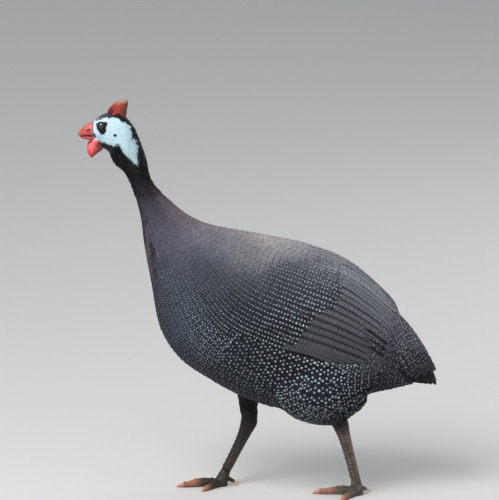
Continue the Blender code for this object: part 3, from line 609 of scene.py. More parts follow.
def joined_mesh(name, points, faces, patches, local, colours):
    """One mesh of many like bodies, with a patch and a place on its form for each, and its colour. The
    copies on one side of the bird are mirrored, so their faces are turned round to look outwards."""
    copies, count, _ = points.shape
    forward = np.array([corner for face in faces for corner in face])
    backward = np.array([corner for face in faces for corner in face[::-1]])
    corners = np.where((volumes(points, faces) < 0.0)[:, None], backward, forward)
    totals = np.array([len(face) for face in faces])
    mesh = bpy.data.meshes.new(name)
    mesh.vertices.add(copies * count)
    fill(mesh.vertices, "co", points * MM)
    mesh.loops.add(corners.size)
    fill(mesh.loops, "vertex_index", corners + count * np.arange(copies)[:, None])
    mesh.polygons.add(copies * len(faces))
    totals = np.tile(totals, copies)
    fill(mesh.polygons, "loop_start", np.cumsum(totals) - totals)
    fill(mesh.polygons, "loop_total", totals)
    mesh.update(calc_edges=True)
    baked = mesh.uv_layers.new(name="OFBake")
    centred = (local - 0.5) * PATCH
    fill(baked.data, "uv", patches[:, None, :] + centred[corners])
    shaped = mesh.uv_layers.new(name="vane")
    fill(shaped.data, "uv", local[corners])
    colours = colours if colours.ndim == 3 else colours[:, None, :]
    paint(mesh, np.broadcast_to(colours, points.shape).reshape(-1, 3))
    mesh.shade_smooth()
    mesh.set_sharp_from_angle(angle=SHARP_ANGLE)
    return linked(name, mesh)


print("volume of a spot form:", volumes(spot_form[0][None], spot_form[1]).round(2))

# %% [markdown]
# ## Stamping feathers and spots
# Each feather of a tract is a copy of a vane, bent to its own middle line. Spots are low forms that are
# stamped on the vanes in the same way, so they follow every bend.

# %% Stamp feathers and spots
VANE_THICK = 0.22
SPOT_DEPTH = -0.12
SPOT_HEIGHT = 0.26
SPOT_SHIFT = (0.01, 0.005)
# Where the painted shadow line runs on a vane, from -1 to 1 across it, and its half width.
SHADOW_LINE_PLACE = -0.02
SHADOW_LINE_WIDTH = 0.2


def stamp_vanes(name, vanes, shape, colours, thickness=VANE_THICK, shadow_line=0.0, shadow_edge=0.0):
    """The mesh of laid feathers. A painted shadow line may run along the middle, where the next feather's
    edge lies over it, and the first feather may have a painted shadow along its upper edge."""
    points, faces = shape
    # Painted shadow: darker along the line where the next feather's edge lies, and along the first feather's
    # upper edge.
    line = shadow_line * fade(points[:, 0] - SHADOW_LINE_PLACE, SHADOW_LINE_WIDTH)
    colours = colours[:, None, :] * (1.0 - line)[None, :, None]
    colours[0] *= 1.0 - shadow_edge * smoothstep(-points[:, :1], 0.4, 0.6)
    which = np.arange(len(vanes["width"]))[:, None]
    across, along, deep = points.T[:, None]
    places = on_vanes(vanes, which, across, along, deep * thickness)
    local = np.stack([points[:, 0] / 2.0 + 0.5, points[:, 1]], axis=-1)
    return joined_mesh(name, places, faces, vanes["place"], local, colours)


def stamp_spots(name, vanes, which, across, along, radii, colours, shape=spot_form):
    """Low spots on laid feathers. Radii are (across, along) in mm, one pair for each spot."""
    points, faces = shape
    which = which[:, None]
    half = vanes["width"][which] / 2.0
    length = vanes["length"][which]
    x = across[:, None] + points[None, :, 0] * radii[:, :1] / half
    y = along[:, None] + points[None, :, 1] * radii[:, 1:] / length
    places = on_vanes(vanes, which, x, y, SPOT_DEPTH + points[None, :, 2] * SPOT_HEIGHT)
    local = np.stack([points[:, 0] / 2.0 + 0.5, points[:, 1] / 2.0 + 0.5], axis=-1)
    shift = np.stack([along, across], axis=-1) * SPOT_SHIFT
    return joined_mesh(name, places, faces, vanes["place"][which[:, 0]] + shift, local, colours)


print("a spot stands", round(SPOT_DEPTH + SPOT_HEIGHT, 2), "mm over its feather")

# %% [markdown]
# ## Columns of feathers
# On a real bird the feathers of one tract stand in a lattice. Here they run in columns from neck to
# tail. Where the body narrows, every second column ends, as the lattice of a real skin does. A walk along
# each column sets one feather after each gap, and neighbouring columns start half a gap apart.

# %% Walk the columns
OVERLAP = 2.15
WIDTH_SHARE = 1.38
GAP_LINES = (15.0, 18.0)
GAP_SWING = (0.91, 1.09)
LENGTH_SWING = (0.94, 1.06)
ROLL_SWING = 0.08
ROOT_SINK = 0.15
STRIDE = 2.5
MOST_MERGED = 16
# A sway of this size moves a feather's tip by 1 mm.
SWAY_OF_ONE_MM = 6.0


def everywhere(line, angle):
    """No place is left out."""
    return True


def tract(form, columns, first, last, inside, gaps, narrowest):
    """Feathers in columns round a form, as (tip line, angle, column width, gap) rows. The gaps in mm are
    those on the breast and from the middle of the body on."""
    rows = []
    step = 360.0 / columns
    for k in range(columns):
        angle = step * k
        line = first + (0.5 * gaps[0] / float(read(form, "pace", first, angle)) if k % 2 else 0.0)
        while line < last:
            spacing = float(read(form, "girth", line, angle)) * step
            merged = 1
            while spacing * merged < narrowest and merged < MOST_MERGED:
                merged *= 2
            gap = float(np.interp(line, GAP_LINES, gaps))
            if k % merged == 0 and inside(line, float(from_back(angle))):
                rows.append((line, angle, spacing * merged, gap))
            to_go = gap * random.uniform(*GAP_SWING)
            while to_go > 0.0:
                stride = min(to_go, STRIDE)
                line += stride / float(read(form, "pace", line, angle))
                to_go -= stride
    return np.array(rows)


def lay_tract(form, rows, overlap=OVERLAP, width_share=WIDTH_SHARE, tip_lift=0.1, loose=0.08, sway=1.5):
    """Lays the feathers of a tract, each a little different."""
    line, angle, spacing, gap = rows.T
    count = len(rows)
    length = gap * overlap * chance.uniform(*LENGTH_SWING, count)
    root_line = line - length / read(form, "pace", line, angle)
    swing = chance.normal(0.0, sway, count) / (read(form, "girth", line, angle) * SWAY_OF_ONE_MM)
    return lay(
        form, (root_line, angle), (line, angle + swing), spacing * width_share,
        -read(form, "depth", root_line, angle) - ROOT_SINK, tip_lift + chance.normal(0.0, loose, count),
        roll=chance.normal(0.0, ROLL_SWING, count),
    )


print("each feather is", OVERLAP, "gaps long")

# %% [markdown]
# ## Colours and spots of a tract
# A feather takes the colour of its place, a little lighter or darker than its neighbours. The front of the
# neck has dark and tan streaks laid over that. Each feather carries a few spots in one of three patterns,
# which join into a lattice or into long lines over the whole tract.

# %% Colour the feathers and set the spots
# Middle and reach of the streaks, in lines and degrees.
STREAK_PLACE = (12.2, 160.0)
STREAK_REACH = (1.7, 33.0)
STREAK_TURNS = 15.0
STREAK_DARK = np.array([30.0, 25.0, 27.0])
STREAK_TAN = np.array([102.0, 91.0, 89.0])
SPOT_WHITE = np.array([192.0, 200.0, 206.0])
SPOT_STRAY = 0.03
SMALLEST_SPOT = 0.3
# Across as a share of the column's width, and back from the tip as a share of the gap.
LATTICE = [(-0.25, 0.2), (0.25, 0.2), (0.0, 0.7)]
FINE = [(-0.3, 0.1), (0.0, 0.25), (0.3, 0.1), (-0.3, 0.55), (0.0, 0.75), (0.3, 0.55)]
LINED = [(-0.25, 0.14), (0.25, 0.14), (-0.25, 0.64), (0.25, 0.64)]


def streaked(values, line, angle):
    """Dark and tan streaks laid over the colours of the front of the neck."""
    where = fade(from_back(angle) - STREAK_PLACE[1], STREAK_REACH[1], 4)
    where = where * fade(line - STREAK_PLACE[0], STREAK_REACH[0])
    around = np.sin(np.radians(angle)) * STREAK_TURNS
    wave = np.array([noise.noise(Vector((a, 0.5 * b, 3.0))) for a, b in zip(around, line)])
    values = values + (STREAK_DARK - values) * (where * smoothstep(wave, 0.0, 0.25))[:, None]
    return values + (STREAK_TAN - values) * (where * smoothstep(-wave, 0.1, 0.35) * 0.7)[:, None]


def feather_colours(vanes, table, spread=0.035):
    """Each feather's own colour, a little lighter or darker than its place asks for."""
    values = looks_at(table, *vanes["tip"])
    if table is PLUME_COLOURS:
        values = streaked(values, *vanes["tip"])
    values = values * chance.normal(1.0, spread, (len(values), 1))
    return displayed(np.clip(values, 4.0, 250.0))


def spot_tract(name, vanes, rows, pattern, colours, looks, spread=0.12):
    """The spots of a tract: one set on each feather, in the places that a pattern gives."""
    which = []
    across = []
    along = []
    for share, back in pattern:
        which.append(np.arange(len(rows)))
        across.append(share * 2.0 / WIDTH_SHARE + chance.normal(0.0, SPOT_STRAY, len(rows)))
        along.append(1.0 - (back + chance.normal(0.0, SPOT_STRAY, len(rows))) / OVERLAP)
    which = np.concatenate(which)
    across = np.concatenate(across)
    along = np.concatenate(along)
    radius, bright = looks_at(looks, *(part[which] for part in vanes["tip"])).T
    radius = radius * chance.normal(1.0, spread, len(radius))
    shown = radius > SMALLEST_SPOT
    which, across, along, radius, bright = (part[shown] for part in (which, across, along, radius, bright))
    base = looks_at(colours, *(part[which] for part in vanes["tip"]))
    bright = np.clip(bright * chance.normal(1.0, 0.1, len(bright)), 0.0, 1.0)[:, None]
    radii = np.stack([radius, radius * 1.05], axis=-1)
    shades = displayed(base * (1.0 - bright) + SPOT_WHITE * bright)
    return stamp_spots(name, vanes, which, across, along, radii, shades)


print("spots on a feather:", len(LATTICE), "in a lattice,", len(FINE), "fine,", len(LINED), "in lines")

# %% [markdown]
# ## The body's tracts
# The breast, back, belly and rump have fine spots in a lattice. The wing coverts are broader feathers
# whose spots stand in long lines. Each tract is a piece of its own, so that no mesh grows too large.

# %% Grow the tracts of the body
# Line and angle along the upper and the lower border of the folded wing.
WING_TOP = np.array([(14.3, 86.0), (14.8, 70.0), (15.4, 60.0), (16.2, 48.0), (17.0, 34.0), (18.0, 22.0),
                     (19.0, 15.0), (20.0, 12.0), (23.0, 10.0)])
WING_FOOT = np.array([(14.3, 86.0), (14.8, 99.0), (15.4, 104.0), (16.2, 106.0), (17.0, 103.0),
                      (18.0, 98.0), (19.0, 97.0), (20.0, 96.0), (22.9, 103.0)])
# Angle, and the line where the coverts end there.
COVERT_END = np.array([(12.0, 18.6), (30.0, 19.6), (45.0, 19.9), (58.0, 19.8), (66.0, 19.5), (76.0, 19.3),
                       (86.0, 19.0), (96.0, 18.7), (106.0, 17.8)])
COVERT_RAGS = 0.6
RAGGED_ABOVE = 84.0
RUMP_START = 22.0
BELLY_START = 16.9
SIDE_ANGLE = 75.0
BACK_OVERLAP = 5.0


def on_wing(line, angle):
    """Whether a place lies on the folded wing."""
    top = np.interp(line, WING_TOP[:, 0], WING_TOP[:, 1])
    foot = np.interp(line, WING_FOOT[:, 0], WING_FOOT[:, 1])
    return WING_TOP[0, 0] < line < RUMP_START and top < angle < foot


def on_coverts(line, angle):
    """Whether a place lies on the coverts, before the flight feathers show."""
    ragged = COVERT_RAGS * noise.noise(Vector((angle / 3.0, 7.0, 0.0))) * (angle < RAGGED_ABOVE)
    return on_wing(line, angle) and line < np.interp(angle, COVERT_END[:, 0], COVERT_END[:, 1]) + ragged


def on_back(line, angle):
    """The back between the wings, and a little way over their borders."""
    return angle < SIDE_ANGLE and line < RUMP_START and not on_wing(line, angle - BACK_OVERLAP)


def on_rump(line, angle):
    """The rump behind the wings."""
    return angle < SIDE_ANGLE and line >= RUMP_START


def on_breast(line, angle):
    """The breast and the front of the belly."""
    return angle >= SIDE_ANGLE and line < BELLY_START and not on_wing(line, angle)


def on_belly(line, angle):
    """The belly, flanks and vent."""
    return angle >= SIDE_ANGLE and line >= BELLY_START and not on_wing(line, angle)


def grow_tract(name, form, rows, pattern, colours=PLUME_COLOURS, looks=SPOT_LOOKS, side=""):
    """The feathers and spots of one tract. The side ends their names."""
    vanes = lay_tract(form, rows)
    coat.append(stamp_vanes(f"{name}_feathers{side}", vanes, body_vane, feather_colours(vanes, colours)))
    coat.append(spot_tract(f"{name}_spots{side}", vanes, rows, pattern, colours, looks))
    print(name + side, "has", len(rows), "feathers")


coat = []
# Columns, first and last line, places, gaps, narrowest column; then the spots' pattern.
for tract_name, plan, pattern in (
    ("back", (80, 12.3, 26.9, on_back, (6.6, 7.0), 3.8), FINE),
    ("rump", (54, 21.7, 25.8, on_rump, (8.8, 8.8), 4.4), LATTICE),
    ("breast", (76, 12.3, 26.9, on_breast, (6.0, 7.0), 4.0), LATTICE),
    ("belly", (60, 16.6, 26.2, on_belly, (8.2, 9.0), 5.0), LATTICE),
    ("coverts", (56, 14.3, 26.9, on_coverts, (6.2, 8.1), 4.5), LINED),
):
    grow_tract(tract_name, body, tract(body, *plan), pattern)

# %% [markdown]
# ## Where the bare skin shows
# Seen from the side, the pale skin of the face is a patch with a ragged edge: it runs from the bill round
# the eye and the cheek, and down behind the black throat in a point. It is told as an outline in x and z,
# and the distance to that outline says how far inside a place lies. Both sides of the head share it.

# %% Outline the pale skin
PALE_SKIN = np.array([
    (-198.5, 441.5), (-190.2, 445.4), (-180.4, 447.9), (-166.6, 448.4), (-162.9, 444.9), (-157.5, 441.5),
    (-152.3, 438.2), (-149.5, 429.7), (-150.0, 423.6), (-144.6, 420.8), (-144.6, 416.6), (-141.9, 414.6),
    (-143.4, 407.2), (-143.4, 399.1), (-142.6, 393.7), (-144.0, 391.1), (-148.6, 395.8), (-152.8, 399.9),
    (-156.7, 403.5), (-160.8, 408.8), (-164.4, 416.3), (-169.6, 415.4), (-176.4, 416.8), (-183.1, 419.7),
    (-187.6, 419.0), (-191.7, 424.7), (-193.8, 431.0), (-198.5, 436.0),
])


def inside_by(outline, x, z):
    """How far places lie inside an outline, in mm; less than nothing outside it."""
    place = np.stack([np.atleast_1d(x), np.atleast_1d(z)], axis=-1)
    edge = np.roll(outline, -1, axis=0) - outline
    away = place[:, None] - outline
    along = np.clip((away * edge).sum(-1) / (edge ** 2).sum(-1), 0.0, 1.0)
    nearest = np.linalg.norm(away - along[..., None] * edge, axis=-1).min(axis=1)
    spans = (outline[:, 1] > place[:, None, 1]) != (np.roll(outline, -1, axis=0)[:, 1] > place[:, None, 1])
    rise = np.where(edge[:, 1] == 0.0, 1e-9, edge[:, 1])
    left_of = place[:, None, 0] < outline[:, 0] + away[..., 1] * edge[:, 0] / rise
    return nearest * np.where((spans & left_of).sum(axis=1) % 2 == 1, 1.0, -1.0)


print("the ear lies", inside_by(PALE_SKIN, -169.5, 428.0).round(1), "mm inside the pale skin")

# %% [markdown]
# ## The neck and its bristles
# The lower neck wears plain narrow feathers. Towards the head they turn into short black bristles, which
# also make the dark crest down the nape. They grow in the same way, only thinner and standing up more.

# %% Grow the neck
PALE_EDGE = -0.8
THROAT_START = 4.6
CREST_START = 4.2
CREST_ANGLE = 34.0
BRISTLE_END = 9.6
NECK_END = 12.6
NECK_LAP = 0.8


def is_pale(line, angle):
    """Whether a place on the body's grid lies on the pale skin."""
    place = read(body, "surface", line, angle)
    return float(inside_by(PALE_SKIN, place[0], place[2])[0]) > PALE_EDGE


def on_bristles(line, angle):
    """The throat, the upper neck and a narrow crest behind the head."""
    crest = angle < CREST_ANGLE and line > CREST_START
    return line < BRISTLE_END and (crest or line > THROAT_START) and not is_pale(line, angle)


def grow_plain(name, plan, shape, spread, **laying):
    """Feathers without spots."""
    rows = tract(body, *plan)
    vanes = lay_tract(body, rows, **laying)
    coat.append(stamp_vanes(name, vanes, shape, feather_colours(vanes, PLUME_COLOURS, spread)))
    print(name, "has", len(rows), "feathers")


grow_plain("neck_feathers", (60, BRISTLE_END - NECK_LAP, NECK_END, everywhere, (5.4, 5.4), 2.4),
           small_vane, spread=0.035, tip_lift=0.08, loose=0.06, sway=2.0)
grow_plain("bristles", (180, 3.4, BRISTLE_END, on_bristles, (2.5, 2.5), 1.1), bristle_vane,
           spread=0.2, overlap=2.4, width_share=0.8, tip_lift=0.7, loose=0.5, sway=6.0)

# %% [markdown]
# ## The skin
# Under the feathers and over the bare head runs one skin. It is fused from copies of the flesh solids,
# then each of its points moves: out to the height of the folded wing, and in by the depth of the coat.
# The head has no coat, so there the skin is the surface that shows. Its faces are divided finely and laid
# on a smoother, finer copy of the head, and the folds are pressed into that.

# %% Fuse the skin and sink it under the coat
# How deep the skin lies under the thigh's feathers, and over which heights it comes up to the leg.
THIGH_DEPTH = 3.2
THIGH_TOP = 170.0
THIGH_FOOT = 84.0
THIGH_EASE = 22.0
LEAST_SHARE = 0.15
OFF_BODY = 2.5
UNDER_WING = (0.5, 0.85)
HEAD_FOOT = 384.0
HEAD_BLEND = 12.0
HEAD_CUTS = 4
ALL_WAYS = {"use_axis_x": True, "use_axis_y": True, "use_axis_z": True}


def smoothed(item, rounds):
    """Smooths an object's mesh."""
    form = bmesh.new()
    form.from_mesh(item.data)
    for _ in range(rounds):
        bmesh.ops.smooth_vert(form, verts=form.verts, factor=0.5, **ALL_WAYS)
    form.to_mesh(item.data)
    form.free()
    item.data.shade_smooth()
    return item


skin = fused("skin", ["head", "neck", "torso", "thigh_l", "thigh_r"])
fine_head = smoothed(fused("fine_head", ["head", "neck"], grow=0.2, voxel=0.8), 7)
head_tree = surface_tree(fine_head)
grid_tree = KDTree(bare_surface.shape[0] * bare_surface.shape[1])
for number, place in enumerate(bare_surface.reshape(-1, 3)):
    grid_tree.insert(place, number)
grid_tree.balance()


def sink_skin(form):
    """Moves the skin's points under the coat, and out under the wings."""
    for vert in form.verts:
        place = vert.co / MM
        _, number, distance = grid_tree.find(place)
        row, column_number = divmod(number, len(grid_angles))
        if distance > OFF_BODY and place.z < THIGH_TOP:
            move = -THIGH_DEPTH * min(1.0, max(LEAST_SHARE, (place.z - THIGH_FOOT) / THIGH_EASE))
        else:
            facing = np.dot(vert.normal, body["outward"][row, column_number])
            move = wing_height[row, column_number] * smoothstep(facing, *UNDER_WING) - skin_depth[row]
        vert.co += vert.normal * move * MM
    below_head = [vert for vert in form.verts if vert.co.z < HEAD_FOOT * MM]
    for _ in range(2):
        bmesh.ops.smooth_vert(form, verts=below_head, factor=0.5, **ALL_WAYS)


def refine_head(form):
    """Divides the head's faces and lays them on the finer head."""
    faces = [face for face in form.faces if min(vert.co.z for vert in face.verts) > HEAD_FOOT * MM]
    edges = list({edge for face in faces for edge in face.edges})
    bmesh.ops.subdivide_edges(form, edges=edges, cuts=HEAD_CUTS, use_grid_fill=True)
    for vert in form.verts:
        share = min(1.0, (vert.co.z / MM - HEAD_FOOT) / HEAD_BLEND)
        if share > 0.0:
            nearest = head_tree.find_nearest(vert.co)[0]
            vert.co = vert.co.lerp(nearest, share)
    head_verts = [vert for vert in form.verts if vert.co.z > (HEAD_FOOT + 2.0) * MM]
    bmesh.ops.smooth_vert(form, verts=head_verts, factor=0.5, **ALL_WAYS)


skin_form = bmesh.new()
skin_form.from_mesh(skin.data)
sink_skin(skin_form)
refine_head(skin_form)
skin_form.to_mesh(skin.data)
skin_form.free()
bpy.data.objects.remove(fine_head)
skin.data.shade_smooth()
print("skin:", len(skin.data.polygons), "faces")

# %% [markdown]
# ## Tools for fine forms
# The small forms of the head, bill and legs could be sculpted by hand. Here each is a rule that moves the
# points of a fine mesh along their own directions, so a few helpers read a mesh into arrays and write it
# back. Grain is soft noise at a named size, which keeps skin and horn from looking cast.

# %% Read, move and colour points
def read_mesh(mesh):
    """The points of a mesh in mm and its outward directions, as arrays."""
    points = np.empty(len(mesh.vertices) * 3, np.float32)
    mesh.vertices.foreach_get("co", points)
    normals = np.empty(len(mesh.vertices) * 3, np.float32)
    mesh.vertex_normals.foreach_get("vector", normals)
    return points.reshape(-1, 3) / MM, normals.reshape(-1, 3).astype(float)


def write_points(mesh, points):
    """Gives a mesh new points, told in mm."""
    fill(mesh.vertices, "co", points * MM)
    mesh.update()


def layered(colours, tones, layers):
    """Named tones laid in turn, by a share for each point, over one colour or a colour for each point."""
    for tone, share in layers:
        colours = colours + (tones[tone] - colours) * np.clip(share, 0.0, 1.0)[:, None]
    return colours


def to_line(x, z, bends):
    """The distance of places to a bent line, in mm."""
    place = np.stack([x, z], axis=-1)
    nearest = np.full(len(place), 1e9)
    for start, end in zip(bends[:-1], bends[1:]):
        way = end - start
        along = np.clip((place - start) @ way / (way @ way), 0.0, 1.0)
        nearest = np.minimum(nearest, np.linalg.norm(place - start - along[:, None] * way, axis=-1))
    return nearest


def grain(points, size, seed=0.0):
    """Soft random values from about -1 to 1, with bumps of a size in mm."""
    return np.array([noise.noise(Vector(point) / size + Vector((seed, 0.0, 0.0))) for point in points]) * 1.6


points, normals = read_mesh(skin.data)
print("skin from", points.min(axis=0).round(1), "to", points.max(axis=0).round(1), "mm")

# %% [markdown]
# ## Folds of the head
# A face like this is read by its small forms: a sunk ring round the eye, the slit of the mouth with its
# lips, the ear hole with a rim, and creases that run down the cheek and round the nape. Each is told by a
# line in x and z and a distance to it, and presses the skin in or raises it along its own direction.

# %% Press the folds into the head
EYE_PLACE = np.array([-185.4, 438.6])
EYE_RADIUS = 5.2
EYE_OUT = 6.6
SOCKET_GAP = 0.15
EAR_PLACE = np.array([-169.5, 428.0])
# Depth and radius of the ear hole; height, radius and half width of its rim.
EAR_HOLE = (1.7, 1.5)
EAR_RIM = (0.4, 2.6, 0.7)
GAPE_LINE = np.array([(-199.0, 425.6), (-193.0, 425.4), (-188.6, 424.6)])
# Bends as x, z; depth in mm, less than nothing for a ridge; half width in mm.
FOLDS = [
    (GAPE_LINE, 0.9, 0.5),
    (GAPE_LINE + (0.0, 1.3), -0.35, 0.8),
    (GAPE_LINE - (0.0, 1.3), -0.35, 0.8),
    (np.array([(-192.5, 436.0), (-189.0, 431.4), (-183.6, 430.2), (-178.2, 433.0)]), 0.4, 0.7),
    (np.array([(-188.6, 424.6), (-182.0, 424.2), (-176.0, 422.4), (-171.0, 420.6)]), 0.4, 0.6),
    (np.array([(-178.6, 446.2), (-172.6, 444.6), (-167.8, 440.6)]), 0.3, 0.7),
    (np.array([(-165.0, 436.0), (-161.4, 430.6), (-160.6, 424.6), (-158.2, 417.6)]), 0.35, 0.7),
    (np.array([(-160.0, 438.0), (-155.4, 431.0), (-153.2, 423.0), (-150.8, 412.0)]), 0.35, 0.7),
    (np.array([(-163.2, 415.0), (-158.6, 407.6), (-152.6, 400.6)]), -0.4, 0.9),
    (np.array([(-184.0, 418.6), (-176.0, 415.6), (-168.6, 414.6)]), -0.45, 1.0),
]

on_head = np.flatnonzero(points[:, 2] > HEAD_FOOT)
face_points = points[on_head]
face_normals = normals[on_head]
x, y, z = face_points.T
sideways = smoothstep(np.abs(y), 2.0, 5.0)
rise = 0.14 * grain(face_points, 2.2) + 0.10 * grain(face_points, 0.9, 5.0)
for bends, depth, half_width in FOLDS:
    rise -= depth * fade(to_line(x, z, bends), half_width) * sideways
ear_distance = np.hypot(x - EAR_PLACE[0], z - EAR_PLACE[1])
rise -= EAR_HOLE[0] * fade(ear_distance, EAR_HOLE[1], 4) * sideways
rise += EAR_RIM[0] * fade(ear_distance - EAR_RIM[1], EAR_RIM[2]) * sideways
nape = smoothstep(x, -168.0, -158.0) * smoothstep(z, 392.0, 402.0)
rise += 0.16 * np.sin(z * 1.3 + 0.5 * x + 3.0 * grain(face_points, 5.0, 9.0)) * nape
rise += fade(x + 183.0, 9.0, 4) * smoothstep(z, 445.0, 450.0)
face_points = face_points + face_normals * rise[:, None]
for side in (1.0, -1.0):
    eye = np.array([EYE_PLACE[0], side * EYE_OUT, EYE_PLACE[1]])
    away = face_points - eye
    distance = np.linalg.norm(away, axis=1, keepdims=True)
    outside = away[:, 1:2] * side
    push = np.clip(EYE_RADIUS + SOCKET_GAP - distance, 0.0, 1.5) * (outside < 2.0)
    face_points = face_points + away / np.maximum(distance, 1e-6) * push
points[on_head] = face_points
write_points(skin.data, points)
print("points on the head:", len(on_head))

# %% [markdown]
# ## Colours of the skin
# Under the feathers the skin takes the feathers' own colours, darkened as painted shade, so that no gap
# shines through.
# On the head the colour follows the zones: pale skin, a purple-grey forehead, black throat and lores, and
# dark rings round eye and ear. Each edge is made ragged by adding grain to the distance.

# %% Colour the skin
SKIN_TONES = {
    "throat": display(15, 15, 18), "pale": display(184, 208, 219), "blue": display(132, 172, 210),
    "green": display(146, 172, 168), "forehead": display(84, 76, 90), "dark": display(14, 15, 20),
    "gape": display(204, 140, 148), "fleck": display(84, 100, 116), "crown": display(30, 26, 30),
    "cere": display(196, 112, 108),
}
DARK_LIDS = np.array([
    (-191.8, 441.4), (-187.6, 442.6), (-182.4, 443.6), (-179.2, 443.6), (-178.4, 440.6), (-180.7, 438.8),
    (-180.0, 433.0), (-182.4, 429.2), (-185.4, 428.8), (-188.6, 432.2), (-190.9, 437.0),
])
FOREHEAD = np.array([(-197.0, 446.0), (-189.0, 451.4), (-180.0, 454.0)])
LORE = np.array([(-196.4, 431.0), (-193.6, 426.0)])
JAW = np.array([(-193.4, 421.4), (-186.0, 417.0), (-178.0, 414.4)])
# Height and x along the edge of the fleshy skin at the root of the bill.
CERE_EDGE = np.array([(418.0, -194.0), (423.0, -193.6), (433.0, -196.0), (442.0, -194.4), (448.0, -194.0)])
UNDER_COAT_PAINTED_SHADE = 0.62

sink_rows = np.array([grid_tree.find(Vector(point))[1] for point in points])
row, column_number = np.divmod(sink_rows, len(grid_angles))
# Painted shade: the skin under the coat takes the feathers' colours, darkened, for the shade in the gaps
# between them.
under_coat = looks_at(PLUME_COLOURS, grid_lines[row], grid_angles[column_number]) * UNDER_COAT_PAINTED_SHADE
skin_colours = displayed(under_coat)
ragged = 1.1 * grain(face_points, 2.4, 3.0) + 0.6 * grain(face_points, 0.9, 7.0)
pale_by = inside_by(PALE_SKIN, x, z) + ragged
rear_edge = fade(pale_by, 3.4) * smoothstep(x, -163.0, -150.0)
cere_by = np.interp(z, CERE_EDGE[:, 0], CERE_EDGE[:, 1]) - x + 0.3 * ragged
eye_distance = np.hypot(x - EYE_PLACE[0], z - EYE_PLACE[1]) + 0.25 * ragged
skin_colours[on_head] = layered(skin_colours[on_head], SKIN_TONES, [
    ("throat", smoothstep(z, HEAD_FOOT, HEAD_FOOT + 6.0)),
    ("crown", smoothstep(z, 440.0, 450.0)),
    ("forehead", fade(to_line(x, z, FOREHEAD), 4.2, 4) * 0.9),
    ("pale", smoothstep(pale_by, -0.5, 0.5)),
    ("green", 0.75 * fade(pale_by - 1.0, 1.3) * smoothstep(-z, -424.0, -418.0)),
    ("blue", 0.6 * fade(np.hypot(x + 188.0, z - 425.0), 5.0)),
    ("green", 0.5 * smoothstep(x, -160.0, -152.0) * (pale_by > 1.6)),
    ("fleck", 0.85 * rear_edge * smoothstep(grain(face_points, 1.5, 11.0), 0.15, 0.5)),
    ("cere", smoothstep(cere_by, -0.4, 0.4) * smoothstep(z, 418.0, 421.0)),
    ("gape", 0.7 * fade(np.hypot(x + 194.2, z - 424.0), 1.9)),
    ("dark", fade(to_line(x, z, JAW), 1.2) * 0.7 * (pale_by < 1.5)),
    ("dark", fade(to_line(x, z, LORE), 1.1, 4) * 0.75),
    ("dark", smoothstep(inside_by(DARK_LIDS, x, z) + 0.25 * ragged, -0.7, 0.3) * sideways),
    ("dark", (1.0 - smoothstep(eye_distance, 5.2, 6.0)) * sideways),
    ("dark", 0.9 * (1.0 - smoothstep(ear_distance, 1.4, 2.3)) * sideways),
])
paint(skin.data, skin_colours)
print("head colours:", len(SKIN_TONES))

# %% [markdown]
# ## The flight feathers
# The folded wing shows its long feathers as tiers. The tertials lie on top, the secondaries follow under
# them, each showing its lower edge, and the primaries come last. Pale bars cross each one. A few feather
# tips, darkened all over as painted shadow, peep out where the wing ends.

# %% Lay the flight feathers
# Count, first and last root, first and last tip as (line, angle), first and last bow, width.
FLIGHT_TIERS = {
    "primaries": (4, (18.4, 92.0), (18.2, 97.0), (22.8, 104.0), (21.6, 109.0), (8.0, 8.0), 11.0),
    "secondaries": (11, (18.0, 38.0), (17.9, 88.0), (23.4, 44.0), (23.0, 103.0), (2.0, 7.0), 13.0),
    "tertials": (5, (17.6, 20.0), (17.8, 34.0), (23.0, 12.0), (23.3, 39.0), (0.0, 2.0), 15.0),
    "tips": (3, (20.6, 66.0), (20.9, 78.0), (23.0, 74.0), (22.9, 88.0), (2.0, 2.0), 5.0),
}
TIER_LIFT = {"primaries": -0.6, "secondaries": 0.0, "tertials": 0.4, "tips": 0.5}
# How much lower each feather of a tier lies, and how far its tip strays, in lines and degrees.
LIFT_STEP = 0.03
TIP_STRAY = (0.08, 0.4)
FLIGHT_SINK = -0.9
FLIGHT_ROLL = 0.7
FLIGHT_THICK = 0.5
# Painted shadow: the feathers of the tips tier are darkened to this share, for the shaded gap where the wing
# ends.
TIP_PAINTED_SHADOW = 0.2
# Painted shadow: how dark the line under the next flight feather's edge is, and how dark the first tertial's
# upper edge is, for the shadowed groove between the wings.
FLIGHT_SHADOW_LINE = 0.65
TERTIAL_SHADOW_EDGE = 0.85
FLIGHT_LOOKS = np.array([
    (22.0, 8, 100, 100, 106), (22.0, 40, 90, 91, 97), (22.0, 60, 82, 83, 89), (22.0, 85, 66, 68, 73),
    (22.0, 100, 58, 60, 64), (22.0, 112, 52, 54, 59),
])
BAR_GAPS = {"primaries": 2.9, "secondaries": 2.7, "tertials": 2.3}
# Where bars stand along and across a feather, and their half length, as shares; their half width in mm;
# and how far they stray across and along.
BAR_REACH = (0.03, 0.985)
BAR_ACROSS = 0.55
BAR_LONG = 0.43
BAR_HALF = 0.58
BAR_STRAY = (0.01, 0.002)
BAR_SWING = (0.92, 1.04)
# A bar's colour is its feather's, times this and plus this.
BAR_LIGHT = (1.75, 0.03)


def between(pair, share):
    """Values between the first and the last of a pair."""
    return pair[0] + (pair[1] - pair[0]) * share


